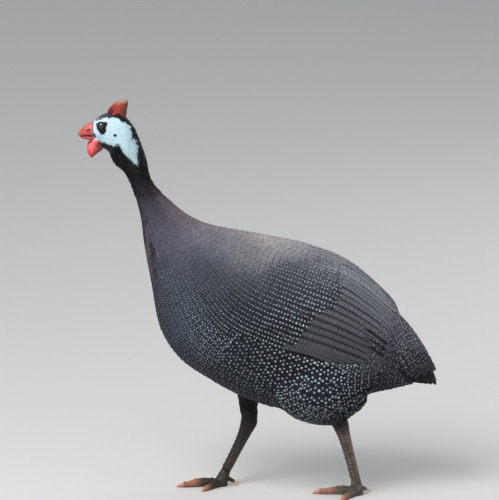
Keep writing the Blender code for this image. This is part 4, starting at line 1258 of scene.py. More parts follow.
def lay_tier(name, side):
    """One tier of flight feathers on the left (1) or right (-1) wing."""
    count, first_root, last_root, first_tip, last_tip, bow, width = FLIGHT_TIERS[name]
    share = np.arange(count) / (count - 1)
    root = [between((first_root[k], last_root[k]), share) for k in (0, 1)]
    tip = [between((first_tip[k], last_tip[k]), share) for k in (0, 1)]
    tip[0] = tip[0] + chance.normal(0.0, TIP_STRAY[0], count)
    tip[1] = tip[1] + chance.normal(0.0, TIP_STRAY[1], count)
    lift = TIER_LIFT[name] - LIFT_STEP * np.arange(count)
    return lay(body, (root[0], side * root[1]), (tip[0], side * tip[1]), width, FLIGHT_SINK, lift,
               bow=between(bow, share), roll=FLIGHT_ROLL)


def flight_colours(vanes):
    """The colours of flight feathers, set by their angle alone."""
    middle = from_back(vanes["tip"][1])
    values = looks_at(FLIGHT_LOOKS, np.full(len(middle), 22.0), middle)
    return displayed(values * chance.normal(1.0, 0.04, (len(values), 1)))


def bars(name, vanes, spacing, colours):
    """Fine pale bars across the shown half of each feather."""
    which = []
    along = []
    for k, length in enumerate(vanes["length"]):
        places = np.arange(BAR_REACH[0] * length, BAR_REACH[1] * length, spacing)
        which += [k] * len(places)
        along += list(places / length)
    which = np.array(which)
    along = np.array(along) + chance.normal(0.0, BAR_STRAY[1], len(along))
    across = BAR_ACROSS + chance.normal(0.0, BAR_STRAY[0], len(along))
    half = BAR_LONG * vanes["width"][which] / 2.0 * chance.uniform(*BAR_SWING, len(along))
    half = half * np.minimum(1.0, (1.08 - along) * 4.0)
    radii = np.stack([half, np.full(len(along), BAR_HALF)], axis=-1)
    shades = colours[which] * BAR_LIGHT[0] + BAR_LIGHT[1]
    return stamp_spots(name, vanes, which, across, along, radii, shades, bar_form)


for side_name, side in (("l", 1.0), ("r", -1.0)):
    for tier in FLIGHT_TIERS:
        vanes = lay_tier(tier, side)
        shades = flight_colours(vanes)
        # Painted shadow: the tips tier is darkened.
        if tier == "tips":
            shades = shades * TIP_PAINTED_SHADOW
        # The first tertial gets a painted shadow along its upper edge.
        edge = TERTIAL_SHADOW_EDGE if tier == "tertials" else 0.0
        name = f"{tier}_{side_name}"
        coat.append(stamp_vanes(name, vanes, long_vane, shades, FLIGHT_THICK, FLIGHT_SHADOW_LINE, edge))
        if tier in BAR_GAPS:
            coat.append(bars(f"{tier}_bars_{side_name}", vanes, BAR_GAPS[tier], shades))
print("flight feathers on a wing:", sum(tier[0] for tier in FLIGHT_TIERS.values()))

# %% [markdown]
# ## The thighs
# Each thigh is a form of its own that comes out of the body's coat, so it gets a grid of its own: planes
# across a line down its middle, and rays shot out in each plane. The line runs on into the shank, so that
# the last feathers close over the joint. They grow only where the thigh stands outside the body's coat.

# %% Measure the thighs and grow their feathers
# Places down the middle of each thigh.
THIGH_AXES = {
    "l": np.array([(40.0, -34.0, 160.0), (52.0, -37.0, 140.0), (64.0, -37.0, 121.0), (77.0, -33.0, 105.5),
                   (86.0, -27.0, 96.0), (92.0, -22.5, 89.0), (95.5, -20.3, 81.5)]),
    "r": np.array([(-8.0, 30.0, 160.0), (-10.0, 33.0, 138.0), (-13.0, 33.0, 120.0), (-14.5, 32.0, 104.0),
                   (-14.2, 31.0, 92.0), (-13.0, 30.5, 84.0), (-13.4, 30.2, 73.0)]),
}
THIGH_LINES = 10.0
THIGH_STEP = 0.25
THIGH_RAY = 62.0
THIGH_LEAST = 6.0
# Line, and the depth of the coat there.
THIGH_COAT = np.array([(0.0, 1.6), (7.0, 1.4), (10.0, 0.6)])
THIGH_COLOURS = np.array([
    (0.0, 90, 28, 32, 40), (4.0, 90, 24, 27, 33), (7.0, 90, 21, 21, 23), (10.0, 90, 30, 27, 26),
    (6.0, 170, 23, 26, 33), (8.0, 170, 20, 22, 27),
])
# Line, angle, spot radius in mm and spot brightness on each thigh. On the far, right thigh the spots shrink
# and dim much sooner: painted shade, as that thigh lies in the body's shadow.
THIGH_LOOKS = {
    "l": np.array([(0.0, 90, 1.5, 0.75), (4.0, 90, 1.45, 0.55), (6.0, 90, 1.2, 0.35), (8.0, 90, 0.4, 0.15),
                   (5.0, 170, 1.6, 0.7), (7.5, 170, 1.5, 0.55), (9.0, 170, 1.1, 0.3)]),
    "r": np.array([(0.0, 90, 1.3, 0.5), (3.0, 90, 1.1, 0.35), (4.5, 90, 0.5, 0.2), (6.0, 90, 0.0, 0.1)]),
}
THIGH_ROWS = (56, 0.5, 10.0, everywhere, (8.2, 8.2), 4.4)
THIGH_SHOWN = -6.0


def thigh_grid(side_name):
    """The grid of a thigh, and where it stands outside the body's coat."""
    trees = [surface_tree(nodes[f"{part}_{side_name}"]) for part in ("thigh", "shank")]
    axis = THIGH_AXES[side_name]
    lines = np.arange(0.0, THIGH_LINES + THIGH_STEP / 2.0, THIGH_STEP)
    surface = np.zeros((len(lines), len(grid_angles), 3))
    for i, line in enumerate(lines):
        place = line / THIGH_LINES * (len(axis) - 1)
        middle = curve_through(axis, place)
        way_down = unit(curve_through(axis, place + 0.2) - curve_through(axis, place - 0.2))
        sideways = unit(np.cross(way_down, (0.0, -1.0, 0.0)))
        across = np.cross(sideways, way_down)
        for j, angle in enumerate(np.radians(grid_angles)):
            way = sideways * math.cos(angle) + across * math.sin(angle)
            out = max(THIGH_LEAST, *(farthest(tree, middle, way, THIGH_RAY) for tree in trees))
            surface[i, j] = middle + out * way
    depth = np.interp(lines, THIGH_COAT[:, 0], THIGH_COAT[:, 1])
    form = coat_grid(blurred(surface, 1), 0.0, THIGH_STEP, depth)
    form["outside"] = np.zeros(surface.shape[:2])
    coat_points = body["surface"].reshape(-1, 3)
    coat_normals = body["outward"].reshape(-1, 3)
    for i, j in np.ndindex(surface.shape[:2]):
        number = grid_tree.find(Vector(surface[i, j]))[1]
        form["outside"][i, j] = np.dot(surface[i, j] - coat_points[number], coat_normals[number])
    return form


for side_name, looks in THIGH_LOOKS.items():
    thigh = thigh_grid(side_name)
    rows = tract(thigh, *THIGH_ROWS)
    rows = rows[read(thigh, "outside", rows[:, 0], rows[:, 1]) > THIGH_SHOWN]
    grow_tract("thigh", thigh, rows, LATTICE, THIGH_COLOURS, looks, f"_{side_name}")

# %% [markdown]
# ## The tail
# Fourteen stiff feathers hang down behind the rump, folded like a steep roof. The middle pair lies on
# top, and each pair further out lies under the one before.

# %% Lay the tail feathers
# Bends of the middle and outermost feather on the left: root, turning point, tip.
TAIL_MIDDLE = np.array([(150.0, -3.0, 219.0), (183.0, -4.0, 194.0), (210.0, -4.5, 128.5)])
TAIL_OUTER = np.array([(138.0, -20.0, 196.0), (164.0, -26.0, 174.0), (177.0, -27.0, 138.5)])
TAIL_SHARES = (0.12, 1.0)
TAIL_PAIRS = 7
TAIL_WIDTHS = np.array([9.5, 14.0, 16.0, 16.0, 15.0, 14.0, 12.0])
TAIL_ARCH_RADIUS = 16.0
TAIL_SINK = 1.6
TAIL_STEP = 0.55
# The look of the tail, for places on the coat's own grid.
TAIL_LOOK_AT = (26.0, 60.0)
TAIL_COLOURS = np.array([(26.0, 60, 32, 32, 34), (26.0, 150, 26, 26, 28)])
TAIL_SPOT_GAP = 4.6
TAIL_SPOT_REACH = (0.3, 0.97)
TAIL_SPOTS_ACROSS = (-0.6, -0.2, 0.2, 0.6)
TAIL_SPOT_SIZES = (0.45, 0.8)
TAIL_SPOT_STRAY = (0.04, 0.006)
TAIL_SPOT_LIGHT = (2.0, 0.02)
TAIL_ROLL = 0.3


def tail_vanes():
    """The fourteen tail feathers."""
    middles = []
    ups = []
    for side in (1.0, -1.0):
        for k in range(TAIL_PAIRS):
            start, turn, end = between((TAIL_MIDDLE, TAIL_OUTER), between(TAIL_SHARES, k / (TAIL_PAIRS - 1)))
            share = np.linspace(0.0, 1.0, VANE_STEPS + 1)[:, None]
            middle = start * (1.0 - share) ** 2 + 2.0 * turn * share * (1.0 - share) + end * share ** 2
            outward_way = unit(TAIL_OUTER[1] - TAIL_MIDDLE[1])
            up = unit(np.cross(np.gradient(middle, axis=0), outward_way))
            up *= np.where(up[:, :1] < 0.0, -1.0, 1.0)
            middle = middle - up * (TAIL_SINK + TAIL_STEP * k)
            middles.append(middle * (1.0, side, 1.0))
            ups.append(up * (1.0, side, 1.0))
    middle = np.array(middles)
    up = np.array(ups)
    count = len(middle)
    downward = np.zeros_like(middle)
    downward[..., 1] = np.sign(middle[..., 1])
    place = np.stack([np.full(count, 0.98), np.arange(count) / count], axis=-1)
    tip = tuple(np.full(count, value) for value in TAIL_LOOK_AT)
    return as_vanes(middle, up, downward, np.tile(TAIL_WIDTHS, 2), TAIL_ARCH_RADIUS, TAIL_ROLL, place,
                    tip)


vanes = tail_vanes()
shades = feather_colours(vanes, TAIL_COLOURS)
coat.append(stamp_vanes("tail_feathers", vanes, long_vane, shades, FLIGHT_THICK))
spot_rows = np.arange(*TAIL_SPOT_REACH, TAIL_SPOT_GAP / vanes["length"].mean())
which, along, across = (part.ravel() for part in np.meshgrid(
    np.arange(len(vanes["width"])), spot_rows, TAIL_SPOTS_ACROSS, indexing="ij"))
across = across + chance.normal(0.0, TAIL_SPOT_STRAY[0], len(across))
along = along + chance.normal(0.0, TAIL_SPOT_STRAY[1], len(along))
radii = np.repeat(chance.uniform(*TAIL_SPOT_SIZES, len(along))[:, None], 2, axis=1)
shades = shades[which] * TAIL_SPOT_LIGHT[0] + TAIL_SPOT_LIGHT[1]
coat.append(stamp_spots("tail_spots", vanes, which, across, along, radii, shades))
print("tail feathers:", len(vanes["width"]))

# %% [markdown]
# ## The tail coverts
# Soft spotted feathers clothe the tail above and below, almost out to its tip. They need a form to lie
# on, so the fan of the tail becomes a closed sleeve. Its upper side takes the angles up to 90 degrees on
# both sides of the ridge, and its lower side takes the rest.

# %% Clothe the tail
TAIL_LINES = 10.0
TAIL_GRID_STEP = 0.25
SLEEVE_RISE = 3.6
SLEEVE_DROP = 4.0
SLEEVE_SPREAD = 1.1
SLEEVE_DEPTH = 1.2
# The sleeve's ridge, as the share of its half width over which it closes from both sides.
RIDGE = 0.3
# Which way the sleeve swells on the left: to the rear, outwards and upwards.
SWELL = (0.5, -0.8, 0.36)
# Angle, and the line where the coverts end there.
SLEEVE_END = np.array([(0.0, 8.8), (50.0, 9.5), (90.0, 9.8), (180.0, 8.6)])
SLEEVE_COLOURS = np.array([
    (1.0, 10, 78, 77, 85), (5.0, 10, 66, 66, 73), (9.0, 10, 38, 38, 41), (3.0, 80, 62, 63, 70),
    (5.5, 80, 48, 49, 54), (7.5, 60, 40, 41, 45), (4.0, 150, 28, 30, 34), (9.4, 60, 28, 29, 30),
    (8.0, 120, 28, 29, 31),
])
SLEEVE_LOOKS = np.array([
    (1.0, 20, 1.2, 0.5), (4.0, 20, 1.2, 0.5), (7.0, 20, 1.0, 0.36), (4.0, 80, 1.35, 0.62),
    (6.5, 80, 1.3, 0.5), (4.0, 150, 1.25, 0.4), (8.2, 55, 1.2, 0.42), (8.2, 90, 1.2, 0.42),
    (9.6, 10, 0.4, 0.12), (9.7, 60, 0.8, 0.26), (9.7, 100, 0.8, 0.26),
])


def tail_sleeve():
    """A grid round the fan of the tail."""
    lines = np.arange(0.0, TAIL_LINES + TAIL_GRID_STEP / 2.0, TAIL_GRID_STEP)
    t = (lines / TAIL_LINES)[:, None, None]
    turn = np.radians(grid_angles)
    across = np.sin(turn)
    fan = np.array([between((TAIL_MIDDLE, TAIL_OUTER), SLEEVE_SPREAD * value ** 2) for value in across])
    bent = fan[:, 0] * (1.0 - t) ** 2 + 2.0 * fan[:, 1] * t * (1.0 - t) + fan[:, 2] * t ** 2
    bent[..., 1] *= np.clip(across / RIDGE, -1.0, 1.0)
    rise = np.where(np.cos(turn) > 0.0, SLEEVE_RISE, -SLEEVE_DROP) * np.abs(np.cos(turn)) ** 0.5
    outward_share = np.clip(3.0 * across, -1.0, 1.0)
    even = np.ones(len(turn))
    out = np.stack([SWELL[0] * even, SWELL[1] * outward_share, SWELL[2] * even], axis=-1)
    surface = blurred(bent + rise[None, :, None] * unit(out), 2)
    return coat_grid(surface, 0.0, TAIL_GRID_STEP, np.full(len(lines), SLEEVE_DEPTH))


def on_tail_coverts(line, angle):
    """The coverts leave the tip bare."""
    return line < np.interp(angle, SLEEVE_END[:, 0], SLEEVE_END[:, 1])


sleeve = tail_sleeve()
rows = tract(sleeve, 36, 0.5, 9.8, on_tail_coverts, (8.4, 8.4), 4.4)
grow_tract("tail_coverts", sleeve, rows, LATTICE, SLEEVE_COLOURS, SLEEVE_LOOKS)

# %% [markdown]
# ## The bill
# The two halves of the bill are copies of the solids, remeshed very finely and smoothed until the flat
# facets are gone. They are grown a little, so both start under the skin of the face and no crack shows.
# The nostril is a slit with a fleshy rim, and the bill wears to a yellowish horn at the tip.

# %% Refine the bill
BILL_TIP_X = -212.0
NOSTRIL = np.array([(-202.6, 432.6), (-199.4, 434.0)])
# The nostrils open on the sides only.
NOSTRIL_OFF = 2.5
BILL_TONES = {
    "coral": display(190, 84, 74), "deep": display(146, 46, 44), "horn": display(150, 118, 84),
    "pit": display(64, 20, 24), "base": display(196, 116, 110),
}


def refined(name, node, voxel, rounds, grow=0.12):
    """A fine smooth copy of a solid."""
    return smoothed(fused(name, [node], grow, voxel), rounds)


def make_bill(name, node):
    """One half of the bill, with its colours."""
    item = refined(name, node, 0.35, 6, grow=0.3)
    points, normals = read_mesh(item.data)
    x, y, z = points.T
    to_nostril = to_line(x, z, NOSTRIL) + 10.0 * (np.abs(y) < NOSTRIL_OFF)
    rise = 0.05 * grain(points, 1.2)
    rise -= 0.7 * fade(to_nostril, 0.55)
    rise += 0.3 * fade(to_nostril - 1.2, 0.6)
    rise += 0.25 * fade(x + 203.5 - 0.25 * (z - 433.0), 0.6) * (z > 427.0)
    write_points(item.data, points + normals * rise[:, None])
    paint(item.data, layered(BILL_TONES["coral"], BILL_TONES, [
        ("base", smoothstep(x, -200.0, -195.5) * 0.6),
        ("deep", 0.75 * smoothstep(grain(points, 3.0), 0.0, 0.8)),
        ("deep", smoothstep(428.5 - z + grain(points, 2.0, 6.0), -1.0, 1.5) * 0.85),
        ("horn", smoothstep(-x, -BILL_TIP_X - 2.6, -BILL_TIP_X + 0.2) * 0.7),
        ("pit", fade(to_nostril, 0.8, 4)),
    ]))
    return item


bill_pieces = [make_bill("upper_bill", "bill_upper"), make_bill("lower_bill", "bill_lower")]
print("bill faces:", [len(item.data.polygons) for item in bill_pieces])

# %% [markdown]
# ## The casque
# The helmet is a blade of bone under thin horn, crimson in front, orange red on its flanks and worn pale
# along its crest. Faint ridges run up it, and dark skin laps over its foot.

# %% Refine the casque
CASQUE_TONES = {
    "orange": display(146, 46, 36), "crimson": display(74, 14, 28), "cream": display(158, 134, 112),
    "olive": display(80, 54, 38), "skin": display(20, 19, 24), "pink": display(186, 74, 92),
}
# Height and x of its front and rear edges, and x and height of the skin that laps over its foot.
CASQUE_FRONT = np.array([(448.0, -179.6), (454.5, -178.8), (460.4, -176.2), (465.8, -171.2), (470.6, -159.2)])
CASQUE_REAR = np.array([(440.0, -157.0), (448.5, -156.6), (455.5, -156.2), (461.6, -155.7), (470.6, -156.0)])
CASQUE_FOOT = np.array([(-176.0, 446.0), (-172.0, 449.5), (-169.5, 452.6), (-165.5, 453.8), (-161.5, 450.0),
                        (-158.0, 444.0)])
# How far each mm of height moves back and down, because the horn is worn lower than its solid.
CASQUE_LEAN = np.array([0.05, 0.0, -0.07])
LEANS_ABOVE = 448.0
casque = refined("helmet", "casque", 0.45, 6)
points, normals = read_mesh(casque.data)
x, y, z = points.T
front = np.interp(z, CASQUE_FRONT[:, 0], CASQUE_FRONT[:, 1])
rear = np.interp(z, CASQUE_REAR[:, 0], CASQUE_REAR[:, 1])
from_front = (x - front) / np.maximum(rear - front, 1.0)
ridges = np.sin(from_front * 34.0 + 1.2 * grain(points, 5.0)) * np.clip((z - 446.0) / 8.0, 0.0, 1.0)
rise = 0.14 * ridges + 0.16 * grain(points, 1.8)
above = np.maximum(z - LEANS_ABOVE, 0.0)[:, None]
write_points(casque.data, points + normals * rise[:, None] + above * CASQUE_LEAN)
blotch = 0.16 * grain(points, 4.0) + 0.07 * grain(points, 1.4, 2.0)
foot = np.interp(x, CASQUE_FOOT[:, 0], CASQUE_FOOT[:, 1])
paint(casque.data, layered(CASQUE_TONES["orange"], CASQUE_TONES, [
    ("crimson", smoothstep(-from_front - blotch, -0.44, -0.16) * smoothstep(-z, -463.0, -455.0)),
    ("olive", smoothstep(from_front + blotch, 0.62, 0.86) * 0.9),
    ("cream", smoothstep(z + 14.0 * blotch, 464.5, 469.0) * 0.9),
    ("cream", smoothstep(from_front + blotch, 0.9, 1.05) * 0.55),
    ("pink", fade(np.hypot(x + 172.4, z - 451.6), 1.5) * 0.8),
    ("skin", smoothstep(foot - z + 0.8 * grain(points, 1.6), -0.5, 0.5)),
]))
print("casque faces:", len(casque.data.polygons))

# %% [markdown]
# ## The wattles
# A wattle is a soft flap of red skin that hangs from the corner of the mouth. Its surface is finely
# pimpled and its edge a little wavy.

# %% Refine the wattles
WATTLE_TONES = {
    "red": display(200, 60, 58), "light": display(230, 106, 106), "brown": display(74, 30, 26),
    "deep": display(138, 36, 32), "root": display(214, 160, 166),
}
# Height and x along the wattle's rear edge, and the x that its point narrows towards.
WATTLE_REAR = np.array([(402.0, -194.0), (409.0, -189.0), (423.0, -185.0)])
WATTLE_POINT_X = -197.6


def make_wattle(side_name):
    """One wattle with its colours."""
    item = refined(f"flap_{side_name}", f"wattle_{side_name}", 0.4, 4)
    points, normals = read_mesh(item.data)
    x, y, z = points.T
    rise = 0.12 * grain(points, 1.0) + 0.2 * grain(points, 3.2, 4.0)
    corner = fade(z - 412.5, 3.6) * smoothstep(x, -191.0, -186.0)
    point = smoothstep(-z, -410.0, -401.0)
    points[:, 0] += 3.8 * corner + (WATTLE_POINT_X - x) * (0.06 + 0.4 * point)
    write_points(item.data, points + normals * rise[:, None])
    blotch = 0.5 * grain(points, 2.6)
    behind = x - np.interp(z, WATTLE_REAR[:, 0], WATTLE_REAR[:, 1])
    paint(item.data, layered(WATTLE_TONES["red"], WATTLE_TONES, [
        ("light", 0.8 * fade(np.hypot(x + 197.0, z - 414.5), 4.5)),
        ("deep", smoothstep(behind + 2.0 * blotch, -9.0, -3.0) * 0.75),
        ("brown", smoothstep(behind + 2.0 * blotch, -4.2, -0.2) * 0.9),
        ("root", smoothstep(z + 2.0 * blotch, 419.5, 423.0) * 0.8),
    ]))
    return item


wattles = [make_wattle(side_name) for side_name in ("l", "r")]
print("wattle faces:", [len(item.data.polygons) for item in wattles])

# %% [markdown]
# ## Eyes and lids
# The eyeball is a smooth sphere. What shows of it is framed by the lids, two soft rims that lie on the
# ball and meet in a point before and behind it. A rim is a small circle spun into a ring, then bent to
# the ball and narrowed.

# %% Make the eyes and lids
EYE_TONES = {
    "iris": display(40, 25, 20), "pupil": display(6, 5, 6), "rim": display(14, 11, 12),
    "lid": display(20, 21, 26), "worn lid": display(66, 76, 90),
}
LID_RADIUS = 4.75
LID_THICK = 0.85
LID_NARROWING = 0.85
LID_LEAN = Vector((-0.2, 1.0, 0.08))
LID_SEGMENTS = 10
LID_STEPS = 48


def eye_middle(side):
    """The middle of an eye, in mm."""
    return Vector((EYE_PLACE[0], side * EYE_OUT, EYE_PLACE[1]))


def eye_axis(side):
    """The way an eye looks."""
    return Vector((LID_LEAN.x, LID_LEAN.y * side, LID_LEAN.z)).normalized()


def make_eye(side_name, side):
    """An eyeball with its pupil and iris."""
    form = bmesh.new()
    bmesh.ops.create_uvsphere(form, u_segments=40, v_segments=24, radius=EYE_RADIUS * MM)
    bmesh.ops.translate(form, verts=form.verts, vec=eye_middle(side) * MM)
    item = as_object(f"eyeball_{side_name}", form)
    item.data.shade_smooth()
    points, normals = read_mesh(item.data)
    facing = normals @ np.array(eye_axis(side))
    paint(item.data, layered(EYE_TONES["iris"], EYE_TONES, [
        ("pupil", smoothstep(facing, 0.84, 0.88)),
        ("rim", smoothstep(-facing, -0.62, -0.5)),
    ]))
    return item


def make_lids(side_name, side):
    """The lids' rim round an eye."""
    form = bmesh.new()
    bmesh.ops.create_circle(form, segments=LID_SEGMENTS, radius=LID_THICK)
    upright = Vector((0.0, 1.0, 0.0)).rotation_difference(Vector((0.0, 0.0, 1.0))).to_matrix()
    bmesh.ops.rotate(form, verts=form.verts, cent=(0.0, 0.0, 0.0), matrix=upright)
    bmesh.ops.translate(form, verts=form.verts, vec=(LID_RADIUS, 0.0, 0.0))
    bmesh.ops.spin(form, geom=form.edges[:], cent=(0.0, 0.0, 0.0), axis=(0.0, 0.0, 1.0),
                   angle=math.tau, steps=LID_STEPS, use_merge=True)
    bmesh.ops.remove_doubles(form, verts=form.verts, dist=1e-4)
    bmesh.ops.recalc_face_normals(form, faces=form.faces)
    turn = Vector((0.0, 0.0, 1.0)).rotation_difference(eye_axis(side)).to_matrix()
    centre = eye_middle(side)
    depth = math.sqrt((EYE_RADIUS + 0.2) ** 2 - LID_RADIUS ** 2)
    for vert in form.verts:
        vert.co = centre + turn @ (vert.co + Vector((0.0, 0.0, depth)))
        away = vert.co - centre
        height = away.z / LID_RADIUS
        corner = abs(away.x) / LID_RADIUS
        vert.co.z -= LID_NARROWING * height * (1.0 if height > 0.0 else 0.5)
        vert.co += away.normalized() * (0.35 * max(0.0, height) + 0.2 * (1.0 - corner))
        vert.co = vert.co * MM
    item = as_object(f"lids_{side_name}", form)
    item.data.shade_smooth()
    points, _ = read_mesh(item.data)
    paint(item.data, layered(EYE_TONES["lid"], EYE_TONES, [
        ("worn lid", 0.5 * smoothstep(grain(points, 1.0), 0.1, 0.7)),
    ]))
    return item


eyes = [make_eye("l", -1.0), make_eye("r", 1.0)]
lids = [make_lids("l", -1.0), make_lids("r", 1.0)]
print("lid faces:", len(lids[0].data.polygons))

# %% [markdown]
# ## Scaly legs
# Bird legs are plated: a row of broad scutes down the front of the shank and along the top of each toe,
# and small round scales elsewhere. The plates are pressed into a fine copy of each solid. A plate's edge
# is a groove across the leg, so the height depends on the distance along the nearest bone.

# %% Tell the height of plates and scales
# Where a groove lies on its plate, and its half width, as shares of the plate.
GROOVE_PLACE = 0.06
GROOVE_WIDTH = 0.07


def along_bone(points, start, end):
    """The distance along a bone, and out from it."""
    way = np.subtract(end, start)
    length = np.linalg.norm(way)
    along = np.clip((points - start) @ way / length, 0.0, length)
    apart = np.linalg.norm(points - start - along[:, None] * way / length, axis=1)
    return along, apart


def plates(along, facing, spacing):
    """The height of plates: flat with a step down at each groove, on the side that faces out."""
    share = (along / spacing) % 1.0
    groove = fade(share - GROOVE_PLACE, GROOVE_WIDTH)
    swell = np.sin(math.pi * share) ** 0.5 * 0.5
    return (swell - groove) * smoothstep(facing, -0.05, 0.3)


def small_scales(points, size):
    """The height of small round scales, told by the distance to scattered middles."""
    height = np.empty(len(points))
    for k, point in enumerate(points):
        distances = noise.voronoi(Vector(point) / size)[0]
        height[k] = distances[1] - distances[0]
    return np.clip(height * 2.2, 0.0, 1.0) - 0.5


print("a groove is cut", plates(np.array([GROOVE_PLACE]), 1.0, 1.0).round(2), "times the groove's depth")

# %% [markdown]
# ## The shanks and feet
# Each leg is told by its joints and each foot by its toes, and the plates follow the nearest of these
# bones. The colours go by the plates' height, and change towards the hock and the tips of the toes. All
# the colours of the far leg are darkened as painted shade, and those of the near leg a little.

# %% Plate the shanks and feet
# Joints from hock to ankle to pad, the foot's heading and the toes' splay in degrees.
LEGS = {
    "l": ((96.0, -20.0, 82.0), (111.0, -17.6, 19.5), (113.0, -17.0, 5.0), 176.0, (65.0, 36.0)),
    "r": ((-14.0, 30.0, 70.0), (-40.5, 28.4, 19.5), (-47.0, 28.0, 5.0), 190.0, (32.0, 46.0)),
}
TOE_LENGTHS = (44.0, 33.0, 31.0)
SHANK_PLATE = 4.6
TOE_PLATE = 3.2
# Painted shade: every colour of a leg is scaled by this share; the far, right leg lies in the body's shadow.
LEG_PAINTED_SHADE = {"l": 0.94, "r": 0.36}
HOCK_FADE = {"l": 14.0, "r": 34.0}
SHANK_FRONT = (-1.0, -0.2, 0.3)
FOOT_TOP = (0.0, 0.0, 1.0)
GROOVE = 0.34
SCALE_SIZE = 2.1
LEG_TONES = {
    "dark": display(58, 50, 46), "brown": display(96, 84, 76), "pale": display(142, 128, 116),
    "toe": display(176, 118, 92), "groove": display(36, 30, 28), "hock": display(30, 27, 26),
}


def dress_leg(name, node, bones, spacing, front, shade):
    """A plated copy of a shank or foot, with its points, its colours darkened by a share of painted shade,
    and distances along the bones.
    """
    item = refined(name, node, 0.6, 3, grow=0.15)
    points, normals = read_mesh(item.data)
    nearest = np.full(len(points), 1e9)
    along = np.zeros(len(points))
    for start, end in bones:
        bone_along, apart = along_bone(points, np.array(start), np.array(end))
        closer = apart < nearest
        nearest = np.where(closer, apart, nearest)
        along = np.where(closer, bone_along, along)
    facing = normals @ unit(np.array(front))
    plated = smoothstep(facing, 0.0, 0.35)
    scales = small_scales(points, SCALE_SIZE)
    height = plates(along, facing, spacing) * plated + 0.55 * scales * (1.0 - plated)
    write_points(item.data, points + normals * (GROOVE * height)[:, None])
    colours = layered(LEG_TONES["brown"], LEG_TONES, [
        ("dark", smoothstep(grain(points, 6.0), -0.4, 0.5) * 0.7),
        ("pale", smoothstep(height, 0.1, 0.5) * 0.4),
        ("groove", smoothstep(-height, 0.15, 0.6) * 0.8),
        ("dark", smoothstep(facing, 0.2, 0.8) * 0.6),
        ("pale", smoothstep(-facing, 0.0, 0.6) * 0.5),
    ])
    # Painted shade: the colours are scaled by the leg's share.
    return item, points, colours * shade, along


def toe_lines(pad, heading, splay, outer_sign):
    """The middle lines of the three front toes."""
    lines = []
    for length, turn in zip(TOE_LENGTHS, (0.0, -splay[0], splay[1])):
        angle = math.radians(heading + turn * outer_sign)
        lines.append((pad, (pad[0] + length * math.cos(angle), pad[1] + length * math.sin(angle), 4.0)))
    return lines


leg_pieces = []
for side_name, (hock, ankle, pad, heading, splay) in LEGS.items():
    shade = LEG_PAINTED_SHADE[side_name]
    shank = f"shank_{side_name}"
    bones = [(hock, ankle), (ankle, pad)]
    item, points, colours, _ = dress_leg(f"plated_{shank}", shank, bones, SHANK_PLATE, SHANK_FRONT, shade)
    near_hock = smoothstep(points[:, 2], hock[2] - HOCK_FADE[side_name], hock[2] + 4.0)
    paint(item.data, layered(colours, LEG_TONES, [("hock", near_hock * 0.9)]))
    leg_pieces.append((item, shank))
    foot = f"foot_{side_name}"
    bones = toe_lines(pad, heading, splay, -1.0 if side_name == "l" else 1.0)
    item, points, colours, along = dress_leg(f"plated_{foot}", foot, bones, TOE_PLATE, FOOT_TOP, shade)
    paint(item.data, layered(colours, LEG_TONES, [("toe", smoothstep(along, 20.0, 34.0) * 0.65)]))
    leg_pieces.append((item, foot))
print("leg pieces:", [(item.name, len(item.data.polygons)) for item, _ in leg_pieces])

# %% [markdown]
# ## Fine structure for the materials
# Three effects are shared, so each is a node group, built once by a function of its own. Writing nodes out
# one by one takes many lines, so three helpers make a group, a node with its inputs, and a sum.

# %% Make helpers for shader nodes
def new_group(name, inputs, outputs):
    """An empty node group with named sockets. Inputs and outputs are (name, kind, value)."""
    tree = bpy.data.node_groups.new(name, "ShaderNodeTree")
    for socket_name, kind, value in inputs:
        socket = tree.interface.new_socket(socket_name, in_out="INPUT", socket_type=kind)
        if value is not None:
            socket.default_value = value
    for socket_name, kind, _ in outputs:
        tree.interface.new_socket(socket_name, in_out="OUTPUT", socket_type=kind)
    return tree, tree.nodes.new("NodeGroupInput"), tree.nodes.new("NodeGroupOutput")


def add(tree, kind, inputs=(), **settings):
    """A node with its settings and inputs. An input is a value or another node's socket."""
    node = tree.nodes.new(kind)
    for name, value in settings.items():
        setattr(node, name, value)
    for key, value in dict(inputs).items():
        if isinstance(value, bpy.types.NodeSocket):
            tree.links.new(value, node.inputs[key])
        else:
            node.inputs[key].default_value = value
    return node


def maths(tree, operation, first, second=0.0):
    """The result of a Math node."""
    return add(tree, "ShaderNodeMath", {0: first, 1: second}, operation=operation).outputs[0]


print("shader helpers:", [helper.__name__ for helper in (new_group, add, maths)])

# %% [markdown]
# ## Barbs, pimples and weathering
# Barbs are the fine slanting lines of a vane, told in the vane's own map. Pimples are the grain of bare
# skin. Weathering mixes a little light and dark into any colour, so that no surface is quite even.

# %% Build the node groups
def build_barbs():
    """Barbs and shaft of a vane, as a shade and a height."""
    tree, inside, out = new_group(
        "barbs", [("Barbs", "NodeSocketFloat", 26.0), ("Strength", "NodeSocketFloat", 0.3)],
        [("Shade", "NodeSocketFloat", 0.0), ("Height", "NodeSocketFloat", 0.0)],
    )
    place = add(tree, "ShaderNodeUVMap", uv_map="vane")
    parts = add(tree, "ShaderNodeSeparateXYZ", {0: place.outputs[0]})
    from_shaft = maths(tree, "ABSOLUTE", maths(tree, "SUBTRACT", parts.outputs[0], 0.5))
    slanted = maths(tree, "SUBTRACT", parts.outputs[1], maths(tree, "MULTIPLY", from_shaft, 0.9))
    turns = maths(tree, "MULTIPLY", slanted, inside.outputs["Barbs"])
    wave = maths(tree, "SINE", maths(tree, "MULTIPLY", turns, math.tau))
    shaft = maths(tree, "LESS_THAN", from_shaft, 0.028)
    height = maths(tree, "ADD", maths(tree, "MULTIPLY", wave, 0.5), maths(tree, "MULTIPLY", shaft, 1.5))
    shade = maths(tree, "MULTIPLY", height, inside.outputs["Strength"])
    tree.links.new(maths(tree, "ADD", shade, 1.0), out.inputs["Shade"])
    tree.links.new(height, out.inputs["Height"])
    return tree


